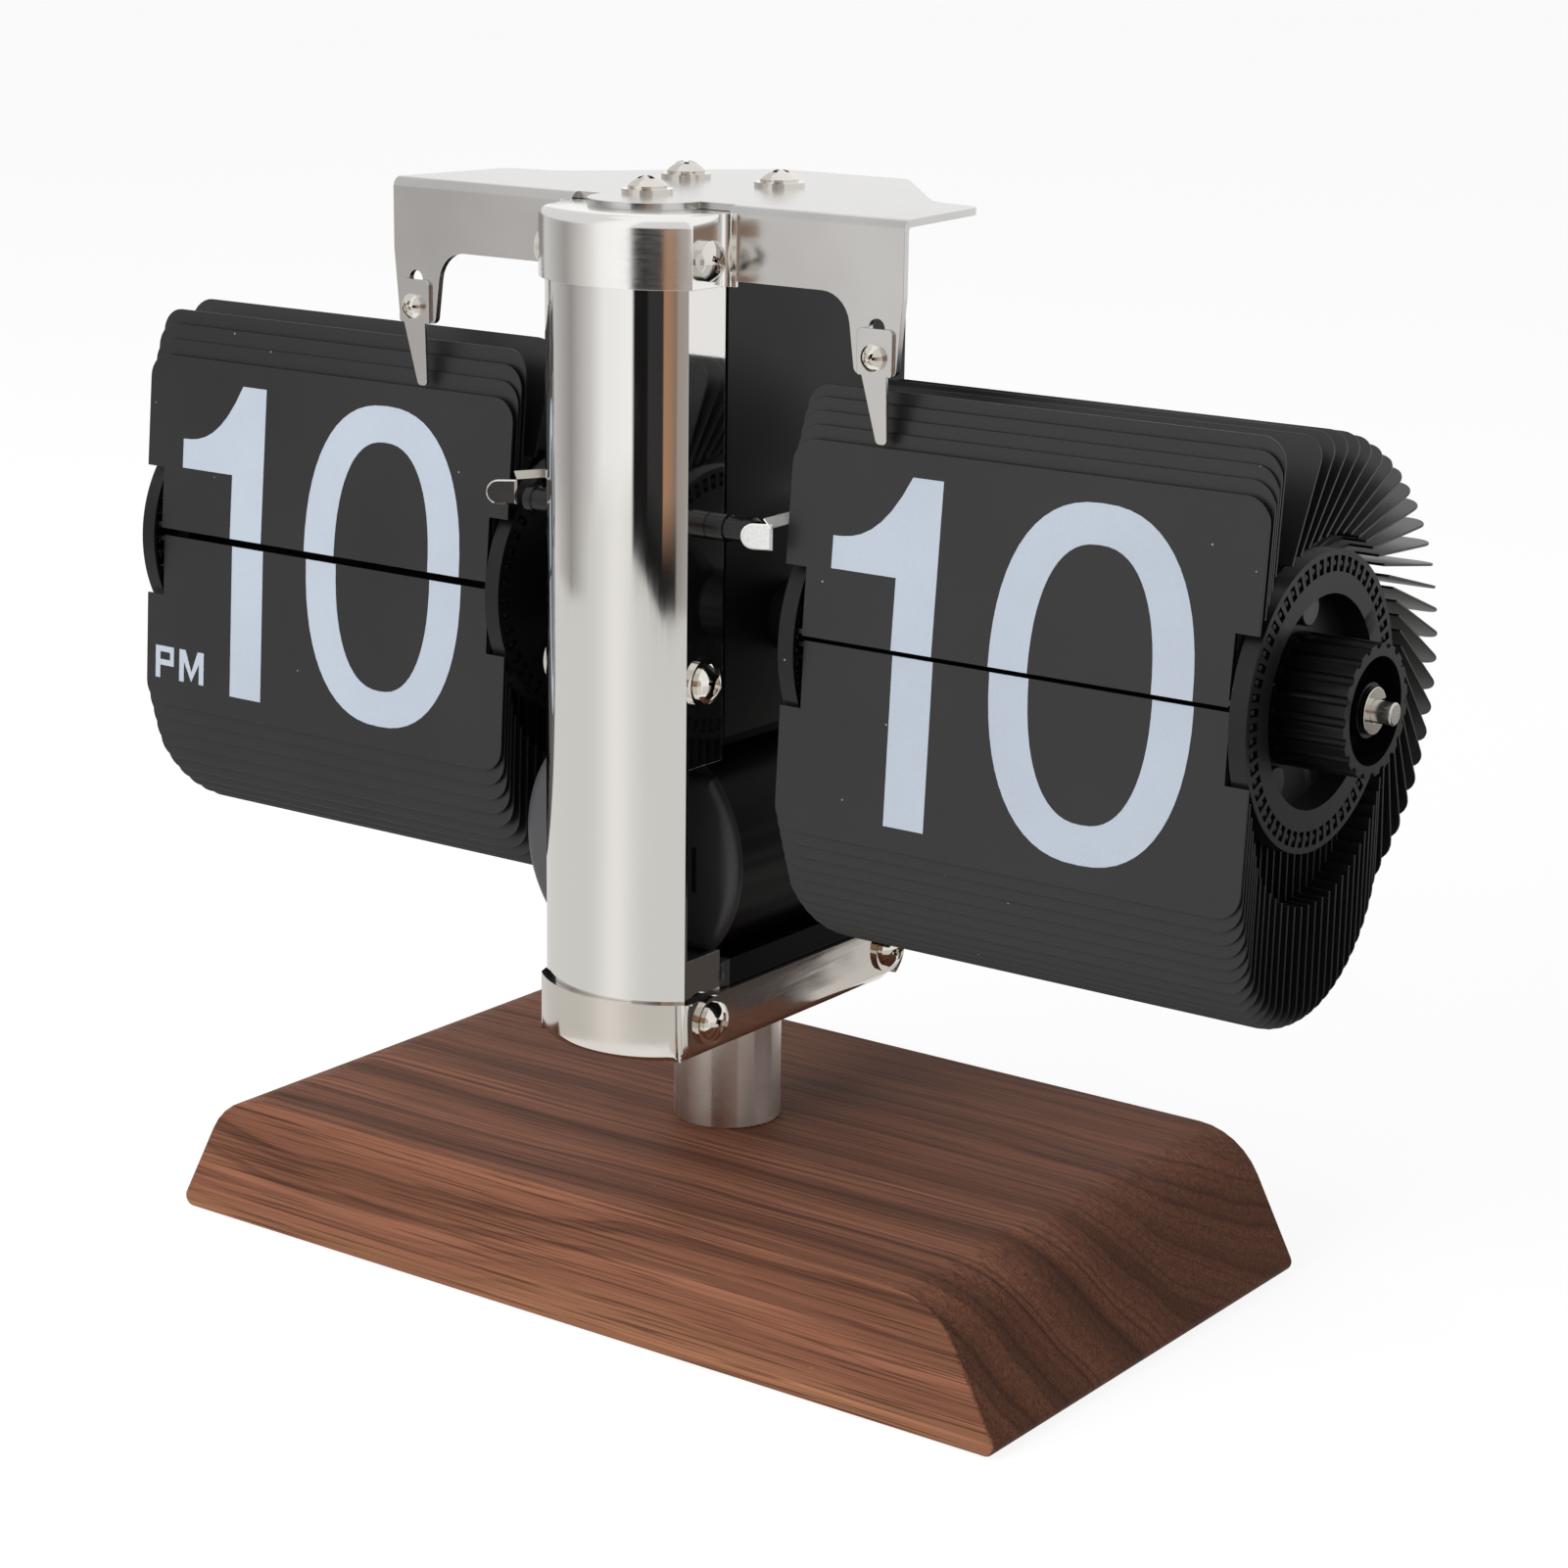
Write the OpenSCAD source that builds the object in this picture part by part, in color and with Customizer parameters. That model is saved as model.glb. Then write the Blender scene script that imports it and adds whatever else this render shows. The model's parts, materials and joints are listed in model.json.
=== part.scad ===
// Flip clock: two drums of falling leaves either side of a polished column on a wooden base.
// Millimetres. Origin at the middle of the underside, +X to the minute drum, +Y to the back, +Z up.

/* [Base] */
// Length of the base along its lower edge
base_w = 149; // [136:1:170]
// Length of the top of the base, before its shoulders are rounded
base_top_w = 128; // [100:1:130]
// Depth of the base
base_d = 81; // [70:0.2:95]
// Height of the top of the base
base_h = 20.1; // [16:0.1:26]
// Radius of the two rounded shoulders
base_shoulder_r = 11.5; // [4:0.5:12]
// Thickness of the felt pad under the base
pad_t = 1.2; // [0.8:0.1:3]
// How far the felt stands out below the wood
pad_proud = 0.2; // [0.2:0.05:0.6]
// Margin of wood round the felt
pad_margin = 8; // [4:0.5:14]

/* [Stand] */
// Radius of the round post
post_r = 7.9; // [6:0.1:9]
// Sideways place of the post
post_x = -0.5; // [-2:0.1:2]
// Length of the post between the base and the bracket
post_l = 18; // [12:0.5:30]
// Thickness of the bent sheet of the bracket, the column and the cap
sheet_t = 0.8; // [0.6:0.1:1.2]
// Height of the bracket's side walls
bracket_h = 8.5; // [7.5:0.5:11]
// Back end of the bracket
bracket_rear_y = 25; // [22:0.5:30]
// Rounding of the bracket's back lower corners
bracket_corner_r = 5; // [2:0.5:7]
// Radius of the long bolt through the post
bolt_r = 3; // [2.5:0.1:3.5]

/* [Column] */
// Half width of the column
column_half_w = 12.4; // [11.8:0.1:14]
// Radius of the column's round front
column_arc_r = 17.5; // [15:0.1:20]
// Foremost point of the column
column_front_y = -32.5; // [-36:0.1:-30]
// Back edges of the column's side walls
column_rear_y = -19.3; // [-20.2:0.1:-18.8]
// Height of the cap on top of the column
cap_h = 9.7; // [8:0.1:12]
// Radius of the turned-out ears of the cap
cap_ear_r = 1.4; // [1:0.1:1.6]

/* [Top plate] */
// Height of the plate's upper face
plate_z = 156.3; // [150:0.1:165]
// Thickness of the plate and its flanges
plate_t = 1; // [0.8:0.1:1.5]
// Half length of the plate's front edge
plate_half_w = 44; // [40:0.5:50]
// Front face of the flanges
flange_y = -20.3; // [-20.6:0.1:-20]
// Sideways place of the plate on the column
plate_x = -2.2; // [-3:0.1:0]
// Height of the flanges between the cap and the arms
flange_h = 10; // [8:0.1:12]
// Length of the arms from the plate's upper face to their tips
arm_l = 20.4; // [18:0.1:24]
// Width of an arm at its tip
arm_tip_w = 6.6; // [5:0.1:8]
// Half distance between the arms' inner edges
arm_inner_x = 35.8; // [32:0.2:38]
// Radius in the corner between a flange and its arm
arm_fillet_r = 4.5; // [2:0.5:6]
// Back edge of the plate
plate_rear_y = 28.3; // [24:0.1:32]
// Half length of the plate's back edge
plate_rear_half_w = 11.5; // [9:0.5:16]
// Radius of the lobe over the cap
plate_lobe_r = 8.5; // [5:0.1:10]
// Thickness of the two retaining fingers
finger_t = 0.5; // [0.3:0.05:0.8]

/* [Drums] */
// Depth position of the axle
axis_y = -3.6; // [-5:0.1:-2]
// Height of the axle
axis_z = 98; // [94:0.1:104]
// Radius of the axle
axle_r = 1.5; // [1.2:0.05:2]
// Distance from the middle to the inner edges of the leaves
leaf_in_x = 24.4; // [23.6:0.1:30]
// Width of a leaf
leaf_w = 72; // [60:0.5:80]
// Length of a leaf from its pivot to its free edge
leaf_l = 25.8; // [22:0.1:27]
// Thickness of a leaf
leaf_t = 0.35; // [0.25:0.05:0.4]
// Play between neighbouring leaves
leaf_play = 0.15; // [0.12:0.01:0.2]
// Radius of a leaf's free corners
leaf_corner_r = 3.5; // [2:0.5:5]
// Backward lean of the upper front leaves
leaf_lean = 5.2; // [3:0.1:8]
// Forward tilt of the lower front leaf
leaf_tilt = 3.4; // [1:0.1:5]
// Radius of the circle of leaf pivots
pivot_r = 18; // [17:0.1:20]
// Depth of the notches in the leaves' sides
notch_w = 3.4; // [3.2:0.1:4]
// Length of the notches from the pivot
notch_l = 8.7; // [8:0.1:10]
// Thickness of a drum disc
disc_t = 2.5; // [2.2:0.1:2.7]
// Number of minute leaves
minute_leaves = 60; // [60]
// Number of hour leaves
hour_leaves = 48; // [48]
// Radius of the drum cores
core_r = 8; // [6:0.1:10]
// Radius of the setting knob
knob_r = 8.7; // [7:0.1:10.5]
// How far the setting knob stands out past the leaves
knob_out = 7.4; // [5:0.1:10]
// How far the axle stands out past the setting knob
axle_out = 2.8; // [1.5:0.1:4]

/* [Numerals] */
// Height of the numerals
numeral_h = 46.8; // [40:0.2:48]
// Width of the nought
nought_w = 30.4; // [24:0.2:31]
// Stroke of the numerals at the sides
stroke_w = 6; // [4:0.1:7]
// Thickness of the print
print_t = 0.06; // [0.05:0.01:0.08]

/* [Movement] */
// Half width of the movement case
case_half_w = 12.2; // [11.8:0.1:12.3]
// Wall of the movement case
case_wall = 1.6; // [1.2:0.1:2]
// Front of the movement case
case_front_y = -18.4; // [-19:0.1:-18]
// Back of the movement case
case_rear_y = 24; // [20:0.1:26]
// Module of the fine gears
fine_module = 0.4; // [0.36:0.01:0.4]
// Teeth of the large wheels
wheel_teeth = 60; // [60]
// Teeth of the small pinions
pinion_teeth = 10; // [10]
// Teeth of the cannon pinion
cannon_teeth = 12; // [12]
// Teeth of the transfer wheel
transfer_teeth = 48; // [48]
// Radius of the motor can
motor_r = 7.6; // [6:0.1:8]

/* [Battery] */
// Radius of the cell
cell_r = 16.6; // [14:0.1:17]
// Length of the cell with its button
cell_l = 61.5; // [48:0.1:62]
// Sideways place of the battery tube
tube_x = -4.6; // [-4.8:0.1:0]
// Wall of the battery tube
tube_wall = 1.5; // [1.2:0.1:1.8]
// Height of the middle of the battery tube
tube_z = 64; // [63.5:0.1:64.2]

/* [Hidden] */

$fn = 48;
// Fits: overshoot of a cut, push fit, running fit, screw in its hole, axial play
eps = 0.01;
snug = 0.02;
run_fit = 0.06;
screw_fit = 0.05;
axial_play = 0.4;

// Screw sizes
screw_r = 1.45;
screw_head_r = 2.6;
screw_head_h = 1.9;
washer_r = 3.4;
washer_h = 0.6;
small_screw_r = 0.95;
small_head_r = 1.75;
small_head_h = 1.2;

// Heights of the stand
base_edge_r = 1.5;
bracket_z = base_h + post_l;
bracket_top = bracket_z + bracket_h;
bracket_half_w = column_half_w + screw_fit + sheet_t;
column_arc_y = column_front_y + column_arc_r;
bracket_arc_r = column_arc_r + screw_fit + sheet_t;
plate_under = plate_z - plate_t;
cap_top = plate_under;
cap_z = cap_top - cap_h;
column_z0 = bracket_z + sheet_t;
column_z1 = cap_top - sheet_t;
bolt_head_r = 5.5;
bolt_head_h = 4;
nut_r = 5.5;
nut_h = 4;

// Screw places on the column's sides: depth and height
bracket_screw_y = -22.4;
bracket_rear_screw_y = bracket_rear_y - 3.8;
bracket_screw_z = bracket_z + 5;
column_screw_y = -23.6;
column_screw_z = axis_z - 6.3;
cap_screw_y = -24.7;
cap_screw_z = cap_z + 3.7;
side_screw_l = 6;
ear_t = 0.4;
flange_gap = 0.3;
plate_screw_places = [[-3, -14], [-13.3, 8], [4.4, 6.5]];
plate_screw_l = 4;
screw_tip_gap = 0.2;

// Fingers
finger_plate_w = 5.6;
finger_plate_h = 6.2;
finger_root_w = 4;
finger_tip_w = 1.7;
finger_lean = 1.4;
arm_x = arm_inner_x + 4.1;
arm_tip_z = plate_z - arm_l;
finger_screw_z = arm_tip_z + 2.4;
finger_hole_z = arm_tip_z + 6.2;
finger_hole_r = 1.25;

// Drums and leaves
leaf_mid_x = leaf_in_x + leaf_w / 2;
leaf_out_x = leaf_in_x + leaf_w;
disc_inset = 0.25;
leaf_stub = 0.6;
tab_h = 0.7;
tab_reach = 0.8;
groove_depth = 1.2;
groove_play = 0.2;
disc_lip = 0.5;
leaf_proud = 0.6;
disc_r = pivot_r + leaf_proud + groove_play + tab_h / 2 + disc_lip;
groove_out_r = disc_r - disc_lip;
groove_in_r = pivot_r - 1.5;
disc_rim_in_r = pivot_r - 3.1;
disc_rim_wall = 0.9;
disc_web_t = 1.2;
disc_web_step = 2.6;
slot_w = 1.1;
hub_r = 5;
leaf_step = leaf_t + leaf_play;
first_angle = 9;
first_step = 1;
fan_start = 38;
loose_lean = 17;
hour_pitch = 360 / hour_leaves;
minute_pitch = 360 / minute_leaves;
knob_wall = 1;
knob_flutes = 20;
flute_r = 0.65;
knob_x = leaf_out_x + knob_out;
knob_floor_x = leaf_out_x + 1.6;
knob_hub_r = 3.6;
knob_hub_x = knob_x - 0.8;
axle_right_x = knob_x + axle_out;
axle_left_x = -leaf_out_x - 2.8;
clip_r = 3.1;
clip_t = 0.6;
clip_gap = 0.2;

// Leaf pivot on the front, measured from the axle
leaf_pivot_y = -pivot_r * cos(first_angle) - leaf_proud;
leaf_pivot_z = pivot_r * sin(first_angle);

// Movement
hub_end_x = case_half_w - case_wall - axial_play / 2;
cell_play = 0.7;
flange_plate_t = 3;
case_gap = 0.2;
case_z0 = tube_z + cell_r + cell_play + tube_wall + case_gap;
cover_top = plate_under - flange_plate_t - case_gap;
shelf_x0 = -22;
shelf_w = 30;
shelf_d = 34.5;
shelf_set = 0.4;
gear_distance = fine_module * (wheel_teeth + pinion_teeth) / 2;
coarse_module = 2 * gear_distance / (cannon_teeth + transfer_teeth);
transfer_angle = 90;
motor_angle = -15;
arbor_r = 1;
tube_r = 2.1;
movement_plate_x = -2.4;
movement_plate_t = 1.4;
minute_wheel_x = 7.4;
wheel_t = 2;
transfer_wheel_x = 2;
hour_wheel_x = -8.6;
cover_screw_inset = 3.6;
cover_screw_l = 4;
cover_hole_l = cover_screw_l + 2;
boss_r = 2.4;
motor_x1 = 6.4;
motor_pinion_l = 3.4;
board_t = 1.2;
board_rise = 30;
board_fit = 0.4;
board_gap = 2;
board_short = 4;
board_z0 = axis_z + board_rise;
board_z1 = cover_top - cover_screw_inset - boss_r - board_fit;
chip_w = 8;
chip_t = 1.6;
chip_y = 8;
chip_z = 5;
cannon_x0 = 0.4;
cannon_x1 = 6;
spindle_r = 2.4;
spindle_l = 0.6;
pinion_gap = 0.8;

// Column noses of the case, and the guide rod
nose_play = 0.2;
nose_half_w = column_half_w - sheet_t - nose_play;
nose_y = -26.8;
nose_h = 10;
rod_r = 1.9;
rod_y = column_rear_y - 2.6;
rod_z = axis_z + 15.3;
rod_half_l = leaf_in_x - 4.4;
tongue_t = 0.4;
tongue_h = 3.1;
tongue_gap = 0.3;

// Battery
tube_in_r = cell_r + cell_play;
tube_out_r = tube_in_r + tube_wall;
front_plate_r = tube_out_r + 0.4;
front_plate_t = 2;
front_plate_half_h = 12.6;
column_cut_z0 = tube_z - front_plate_half_h + 1.1;
column_cut_z1 = tube_z + front_plate_half_h + 3.4;
column_cut_y = column_arc_y - sqrt(column_arc_r * column_arc_r - column_half_w * column_half_w) + 0.5;
tube_span = 3 * tube_out_r;
tube_front_y = case_front_y + 1.4;
contact_t = 0.4;
cell_front_y = tube_front_y + contact_t;
tube_rear_y = cell_front_y + cell_l + contact_t + 1.6;
cover_t = 1.8;
cover_lip = 1.2;
cover_play = 0.3;
foot_rim_h = 4;
button_r = 4.6;
button_h = 1.6;

// Outline helpers
function unit(v) = v / norm(v);
function turned(v, a) = [v.x * cos(a) - v.y * sin(a), v.x * sin(a) + v.y * cos(a)];
function point(p) = [p.x, p.y];

// Points of the arc that rounds corner b between its neighbours a and c
function corner_arc(a, b, c, r) =
    r <= 0 ? [b] :
    let (
        u = unit(a - b),
        w = unit(c - b),
        half = acos(u * w) / 2,
        centre = b + unit(u + w) * r / sin(half),
        start = b + u * r / tan(half) - centre,
        side = cross(u, w) > 0 ? -1 : 1,
        sweep = 180 - 2 * half,
        steps = max(2, ceil(sweep / 12))
    )
    [for (i = [0 : steps]) centre + turned(start, side * sweep * i / steps)];

// Closed outline from corners [x, y, radius]
function rounded(p) =
    let (n = len(p))
    [for (i = [0 : n - 1]) each corner_arc(point(p[(i + n - 1) % n]), point(p[i]), point(p[(i + 1) % n]), p[i].z)];

// The same corners on the other side of the middle plane
function mirrored(p) = [for (q = p) [-q.x, q.y, q.z]];

// Extrusions: an outline in Y and Z pushed along X, and one in X and Z pushed along Y
module along_x(x0, x1) {
    translate([x0, 0, 0]) rotate([90, 0, 90]) linear_extrude(x1 - x0) children();
}

module along_y(y0, y1) {
    translate([0, y1, 0]) rotate([90, 0, 0]) linear_extrude(y1 - y0) children();
}

module rod_x(x0, x1, r) {
    translate([x0, 0, 0]) rotate([0, 90, 0]) cylinder(r = r, h = x1 - x0);
}

module rod_y(y0, y1, r) {
    translate([0, y0, 0]) rotate([-90, 0, 0]) cylinder(r = r, h = y1 - y0);
}

module at_axis() {
    translate([0, axis_y, axis_z]) children();
}

module at_post() {
    translate([post_x, 0, 0]) children();
}

module both_sides() {
    children();
    mirror([1, 0, 0]) children();
}

// Round-headed cross-slot screw along Z: the head's seat at zero, the shank below
module round_screw(shank_r, shank_l, head_r, head_h, seat_r, seat_h) {
    dome_r = (head_r * head_r + head_h * head_h) / (2 * head_h);
    cross_w = head_r * 0.26;
    difference() {
        union() {
            translate([0, 0, -shank_l]) cylinder(r = shank_r, h = shank_l + eps);
            cylinder(r = seat_r, h = seat_h);
            translate([0, 0, seat_h - eps]) intersection() {
                translate([0, 0, head_h - dome_r]) sphere(r = dome_r);
                cylinder(r = head_r, h = head_h);
            }
        }
        translate([0, 0, seat_h + head_h]) cube([head_r * 1.15, cross_w, head_h], center = true);
        translate([0, 0, seat_h + head_h]) cube([cross_w, head_r * 1.15, head_h], center = true);
    }
}

module washer_screw(l) {
    round_screw(screw_r, l, screw_head_r, screw_head_h, washer_r, washer_h);
}

module small_screw(l) {
    round_screw(small_screw_r, l, small_head_r, small_head_h, small_head_r + 0.1, 0.3);
}

// A screw that points inwards along X from a side face
module side_screw(x, y, z) {
    translate([x, y, z]) rotate([0, 90, 0]) washer_screw(side_screw_l);
}

module side_screw_hole(y, z) {
    translate([0, y, z]) rod_x(-3 * column_half_w, 3 * column_half_w, screw_r + screw_fit);
}

// Base and stand

function base_corners() = [
    [base_w / 2, pad_proud, base_edge_r],
    [base_top_w / 2, base_h, base_shoulder_r],
    [-base_top_w / 2, base_h, base_shoulder_r],
    [-base_w / 2, pad_proud, base_edge_r]
];

module pad_block(grow, z0, z1) {
    w = base_w - 2 * pad_margin + 2 * grow;
    d = base_d - 2 * pad_margin + 2 * grow;
    translate([-w / 2, -d / 2, z0]) cube([w, d, z1 - z0]);
}

module wood_base() {
    color("saddlebrown") difference() {
        along_y(-base_d / 2, base_d / 2) polygon(rounded(base_corners()));
        pad_block(snug, pad_proud - 1, pad_t);
        at_post() cylinder(r = bolt_r + screw_fit, h = base_h + 1);
        at_post() cylinder(r = bolt_head_r + 0.3, h = pad_t + bolt_head_h);
    }
}

module felt_pad() {
    color("darkslategray") pad_block(0, 0, pad_t);
}

module post_bolt() {
    color("silver") at_post() {
        translate([0, 0, pad_t]) cylinder(r = bolt_head_r, h = bolt_head_h, $fn = 6);
        translate([0, 0, pad_t + eps]) cylinder(r = bolt_r, h = bracket_z + sheet_t + nut_h - pad_t);
    }
}

module bolt_nut() {
    color("silver") at_post() translate([0, 0, bracket_z + sheet_t]) difference() {
        cylinder(r = nut_r, h = nut_h, $fn = 6);
        translate([0, 0, -1]) cylinder(r = bolt_r + screw_fit, h = nut_h + 2);
    }
}

module stand_post() {
    color("gray") at_post() translate([0, 0, base_h]) difference() {
        cylinder(r = post_r, h = post_l, $fn = 96);
        translate([0, 0, -1]) cylinder(r = bolt_r + screw_fit, h = post_l + 2);
    }
}

// Plan of the column: flat sides, round front
module column_plan(half_w, arc_r, rear_y) {
    front_end = min(rear_y, column_arc_y);
    intersection() {
        translate([0, column_arc_y]) circle(r = arc_r, $fn = 128);
        translate([-half_w, column_arc_y - arc_r - 1]) square([2 * half_w, front_end - column_arc_y + arc_r + 1]);
    }
    if (rear_y > column_arc_y) {
        translate([-half_w, column_arc_y - eps]) square([2 * half_w, rear_y - column_arc_y + eps]);
    }
}

module bracket_side() {
    front = column_arc_y - bracket_arc_r - 1;
    polygon(rounded([
        [front, bracket_z, 0],
        [bracket_rear_y, bracket_z, bracket_corner_r],
        [bracket_rear_y, bracket_top, 0],
        [front, bracket_top, 0]
    ]));
}

module bottom_bracket() {
    color("gainsboro") difference() {
        intersection() {
            translate([0, 0, bracket_z]) linear_extrude(bracket_h) {
                column_plan(bracket_half_w, bracket_arc_r, bracket_rear_y);
            }
            along_x(-bracket_half_w, bracket_half_w) bracket_side();
        }
        translate([0, 0, bracket_z + sheet_t]) linear_extrude(bracket_h) {
            column_plan(bracket_half_w - sheet_t, bracket_arc_r - sheet_t, bracket_rear_y + 1);
        }
        at_post() translate([0, 0, bracket_z - 1]) cylinder(r = bolt_r + screw_fit, h = sheet_t + 2);
        side_screw_hole(bracket_screw_y, bracket_screw_z);
        side_screw_hole(bracket_rear_screw_y, bracket_screw_z);
    }
}

module bracket_screws() {
    color("silver") both_sides() {
        side_screw(bracket_half_w, bracket_screw_y, bracket_screw_z);
        side_screw(bracket_half_w, bracket_rear_screw_y, bracket_screw_z);
    }
}

// Cut-outs in the column's side walls, where the battery housing's front plate shows
module column_cuts() {
    both_sides() translate([column_half_w - sheet_t - 1, column_cut_y, column_cut_z0]) {
        cube([sheet_t + 2, column_rear_y - column_cut_y + 1, column_cut_z1 - column_cut_z0]);
    }
}

module front_column() {
    color("whitesmoke") difference() {
        translate([0, 0, column_z0]) linear_extrude(column_z1 - column_z0) {
            column_plan(column_half_w, column_arc_r, column_rear_y);
        }
        translate([0, 0, column_z0 - 1]) linear_extrude(column_z1 - column_z0 + 2) {
            column_plan(column_half_w - sheet_t, column_arc_r - sheet_t, column_rear_y + 1);
        }
        side_screw_hole(bracket_screw_y, bracket_screw_z);
        side_screw_hole(column_screw_y, column_screw_z);
        side_screw_hole(cap_screw_y, cap_screw_z);
        column_cuts();
        translate([0, rod_y, rod_z]) rod_x(-3 * column_half_w, 3 * column_half_w, rod_r + screw_fit);
    }
}

module column_screws() {
    color("silver") both_sides() side_screw(column_half_w, column_screw_y, column_screw_z);
}

// Plan of an ear: the cap's side wall swept out to the front of the flange
module ear_plan() {
    bend_y = flange_y - ear_t - cap_ear_r;
    tail = 0.5;
    difference() {
        translate([bracket_half_w - sheet_t, bend_y]) square([sheet_t + cap_ear_r + tail, ear_t + cap_ear_r]);
        translate([bracket_half_w + cap_ear_r, bend_y]) circle(r = cap_ear_r);
        translate([bracket_half_w + cap_ear_r, bend_y - 1]) square([tail + 1, cap_ear_r + 1]);
    }
}

module column_cap() {
    color("gainsboro") difference() {
        translate([0, 0, cap_z]) linear_extrude(cap_h) {
            column_plan(bracket_half_w, bracket_arc_r, column_rear_y);
            both_sides() ear_plan();
        }
        translate([0, 0, cap_z - 1]) linear_extrude(cap_h + 1 - sheet_t) {
            column_plan(bracket_half_w - sheet_t, bracket_arc_r - sheet_t, column_rear_y + 1);
        }
        side_screw_hole(cap_screw_y, cap_screw_z);
    }
}

module cap_screws() {
    color("silver") both_sides() translate([bracket_half_w, cap_screw_y, cap_screw_z]) rotate([0, 90, 0]) {
        round_screw(screw_r, side_screw_l, screw_head_r, screw_head_h, screw_head_r, washer_h);
    }
}

// Top plate and fingers

bend_r = 0.5;
lobe_x = 1.2;
bend_y = flange_y + plate_t + bend_r;
flange_in_x = bracket_half_w + flange_gap;

function plate_side() = [
    [plate_half_w, bend_y, 0],
    [plate_half_w - 2.7, 1.9, 3],
    [plate_half_w - 11, 2.6, 9],
    [plate_rear_half_w, plate_rear_y, 3]
];

// Corners of a flange and its arm, from its inner end beside the cap
function flange_corners(inner) = [
    [inner, plate_under - bend_r, 0],
    [inner, plate_z - flange_h, 0],
    [arm_inner_x - 0.8, plate_z - flange_h, arm_fillet_r],
    [arm_inner_x + 0.6, arm_tip_z, 1],
    [arm_inner_x + 0.6 + arm_tip_w, arm_tip_z, 1],
    [plate_half_w, plate_z - flange_h, 4],
    [plate_half_w, plate_under - bend_r, 0]
];

module flange_bend() {
    translate([bend_y, plate_under - bend_r]) intersection() {
        difference() {
            circle(r = bend_r + plate_t);
            circle(r = bend_r);
        }
        translate([-2 * plate_t, 0]) square(2 * plate_t);
    }
}

module plate_flange(inner) {
    along_x(inner, plate_half_w) flange_bend();
    along_y(flange_y, flange_y + plate_t) polygon(rounded(flange_corners(inner)));
}

module top_plate() {
    right = plate_side();
    left = [for (i = [len(right) - 1 : -1 : 0]) mirrored(right)[i]];
    color("lightgray") translate([plate_x, 0, 0]) difference() {
        union() {
            translate([0, 0, plate_under]) linear_extrude(plate_t) {
                polygon(rounded(concat(right, left)));
                translate([lobe_x, bend_y]) circle(r = plate_lobe_r);
            }
            plate_flange(flange_in_x - plate_x);
            mirror([1, 0, 0]) plate_flange(flange_in_x + plate_x);
        }
        for (p = plate_screw_places) {
            translate([p.x, p.y, plate_under - 1]) cylinder(r = screw_r + screw_fit, h = plate_t + 2);
        }
        for (x = [-arm_x, arm_x]) {
            translate([x, 0, finger_screw_z]) {
                rod_y(flange_y - 1, flange_y + plate_t + 1, small_screw_r + screw_fit);
            }
            translate([x, 0, finger_hole_z]) rod_y(flange_y - 1, flange_y + plate_t + 1, finger_hole_r);
        }
    }
}

module plate_screws() {
    color("silver") for (p = plate_screw_places) {
        translate([plate_x + p.x, p.y, plate_z]) washer_screw(plate_t + plate_screw_l);
    }
}

// Finger: a small plate on the arm and a tongue that reaches down to the leaves' free edge
module finger(x) {
    top = arm_tip_z + finger_plate_h;
    side = finger_plate_w / 2;
    tip_x = x + finger_lean;
    tip_z = axis_z + leaf_pivot_z + leaf_l + 0.4;
    difference() {
        along_y(flange_y - finger_t, flange_y) polygon(rounded([
            [x - side, top, 0.8],
            [x - side, arm_tip_z, 0.4],
            [x - finger_root_w / 2, arm_tip_z, 0],
            [tip_x - finger_tip_w / 2, tip_z, finger_tip_w * 0.4],
            [tip_x + finger_tip_w / 2, tip_z, finger_tip_w * 0.4],
            [x + finger_root_w / 2, arm_tip_z, 0],
            [x + side, arm_tip_z, 0.4],
            [x + side, top, 0.8]
        ]));
        translate([x, 0, finger_screw_z]) rod_y(flange_y - 2, flange_y + 1, small_screw_r + screw_fit);
    }
}

module hour_finger() {
    color("lightgray") finger(plate_x - arm_x);
}

module minute_finger() {
    color("lightgray") finger(plate_x + arm_x);
}

module finger_screws() {
    color("silver") for (x = [-arm_x, arm_x]) {
        translate([plate_x + x, flange_y - finger_t, finger_screw_z]) rotate([90, 0, 0]) {
            small_screw(finger_t + plate_t + 0.6);
        }
    }
}

// Guide rod through the column, with a spring tongue at each end beside the leaves
module guide_rod() {
    color("black") translate([0, rod_y, rod_z]) rod_x(-rod_half_l, rod_half_l, rod_r);
}

module guide_tongues() {
    tip_x = leaf_in_x - tongue_gap;
    front_y = rod_y - rod_r + 0.6;
    color("silver") both_sides() translate([0, 0, rod_z - tongue_h / 2]) linear_extrude(tongue_h) {
        translate([rod_half_l, front_y]) square([tip_x - rod_half_l, tongue_t]);
        translate([rod_half_l, front_y]) square([tongue_t, rod_y + rod_r - front_y]);
    }
}

// Movement

function at_angle(a, r) = [axis_y + r * cos(a), axis_z + r * sin(a)];
transfer_place = at_angle(transfer_angle, gear_distance);
motor_place = at_angle(motor_angle, gear_distance);

// Nose on the front of the case, inside the column, for a screw from each side
module case_nose(z) {
    depth = case_front_y - nose_y;
    inner_x = case_half_w - case_wall;
    translate([0, nose_y, z - nose_h / 2]) {
        translate([-nose_half_w, 0, 0]) cube([2 * nose_half_w, depth, nose_h]);
        translate([-inner_x, 0, 0]) cube([2 * inner_x, depth + eps, nose_h]);
    }
}

module cover_screw_places() {
    for (y = [case_front_y + cover_screw_inset, case_rear_y - cover_screw_inset]) {
        for (z = [case_z0 + cover_screw_inset, cover_top - cover_screw_inset]) {
            translate([0, y, z]) children();
        }
    }
}

module case_block(x0, x1, inset, z1) {
    translate([x0, case_front_y + inset, case_z0 + inset]) {
        cube([x1 - x0, case_rear_y - case_front_y - 2 * inset, z1 - case_z0 - 2 * inset]);
    }
}

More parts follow.
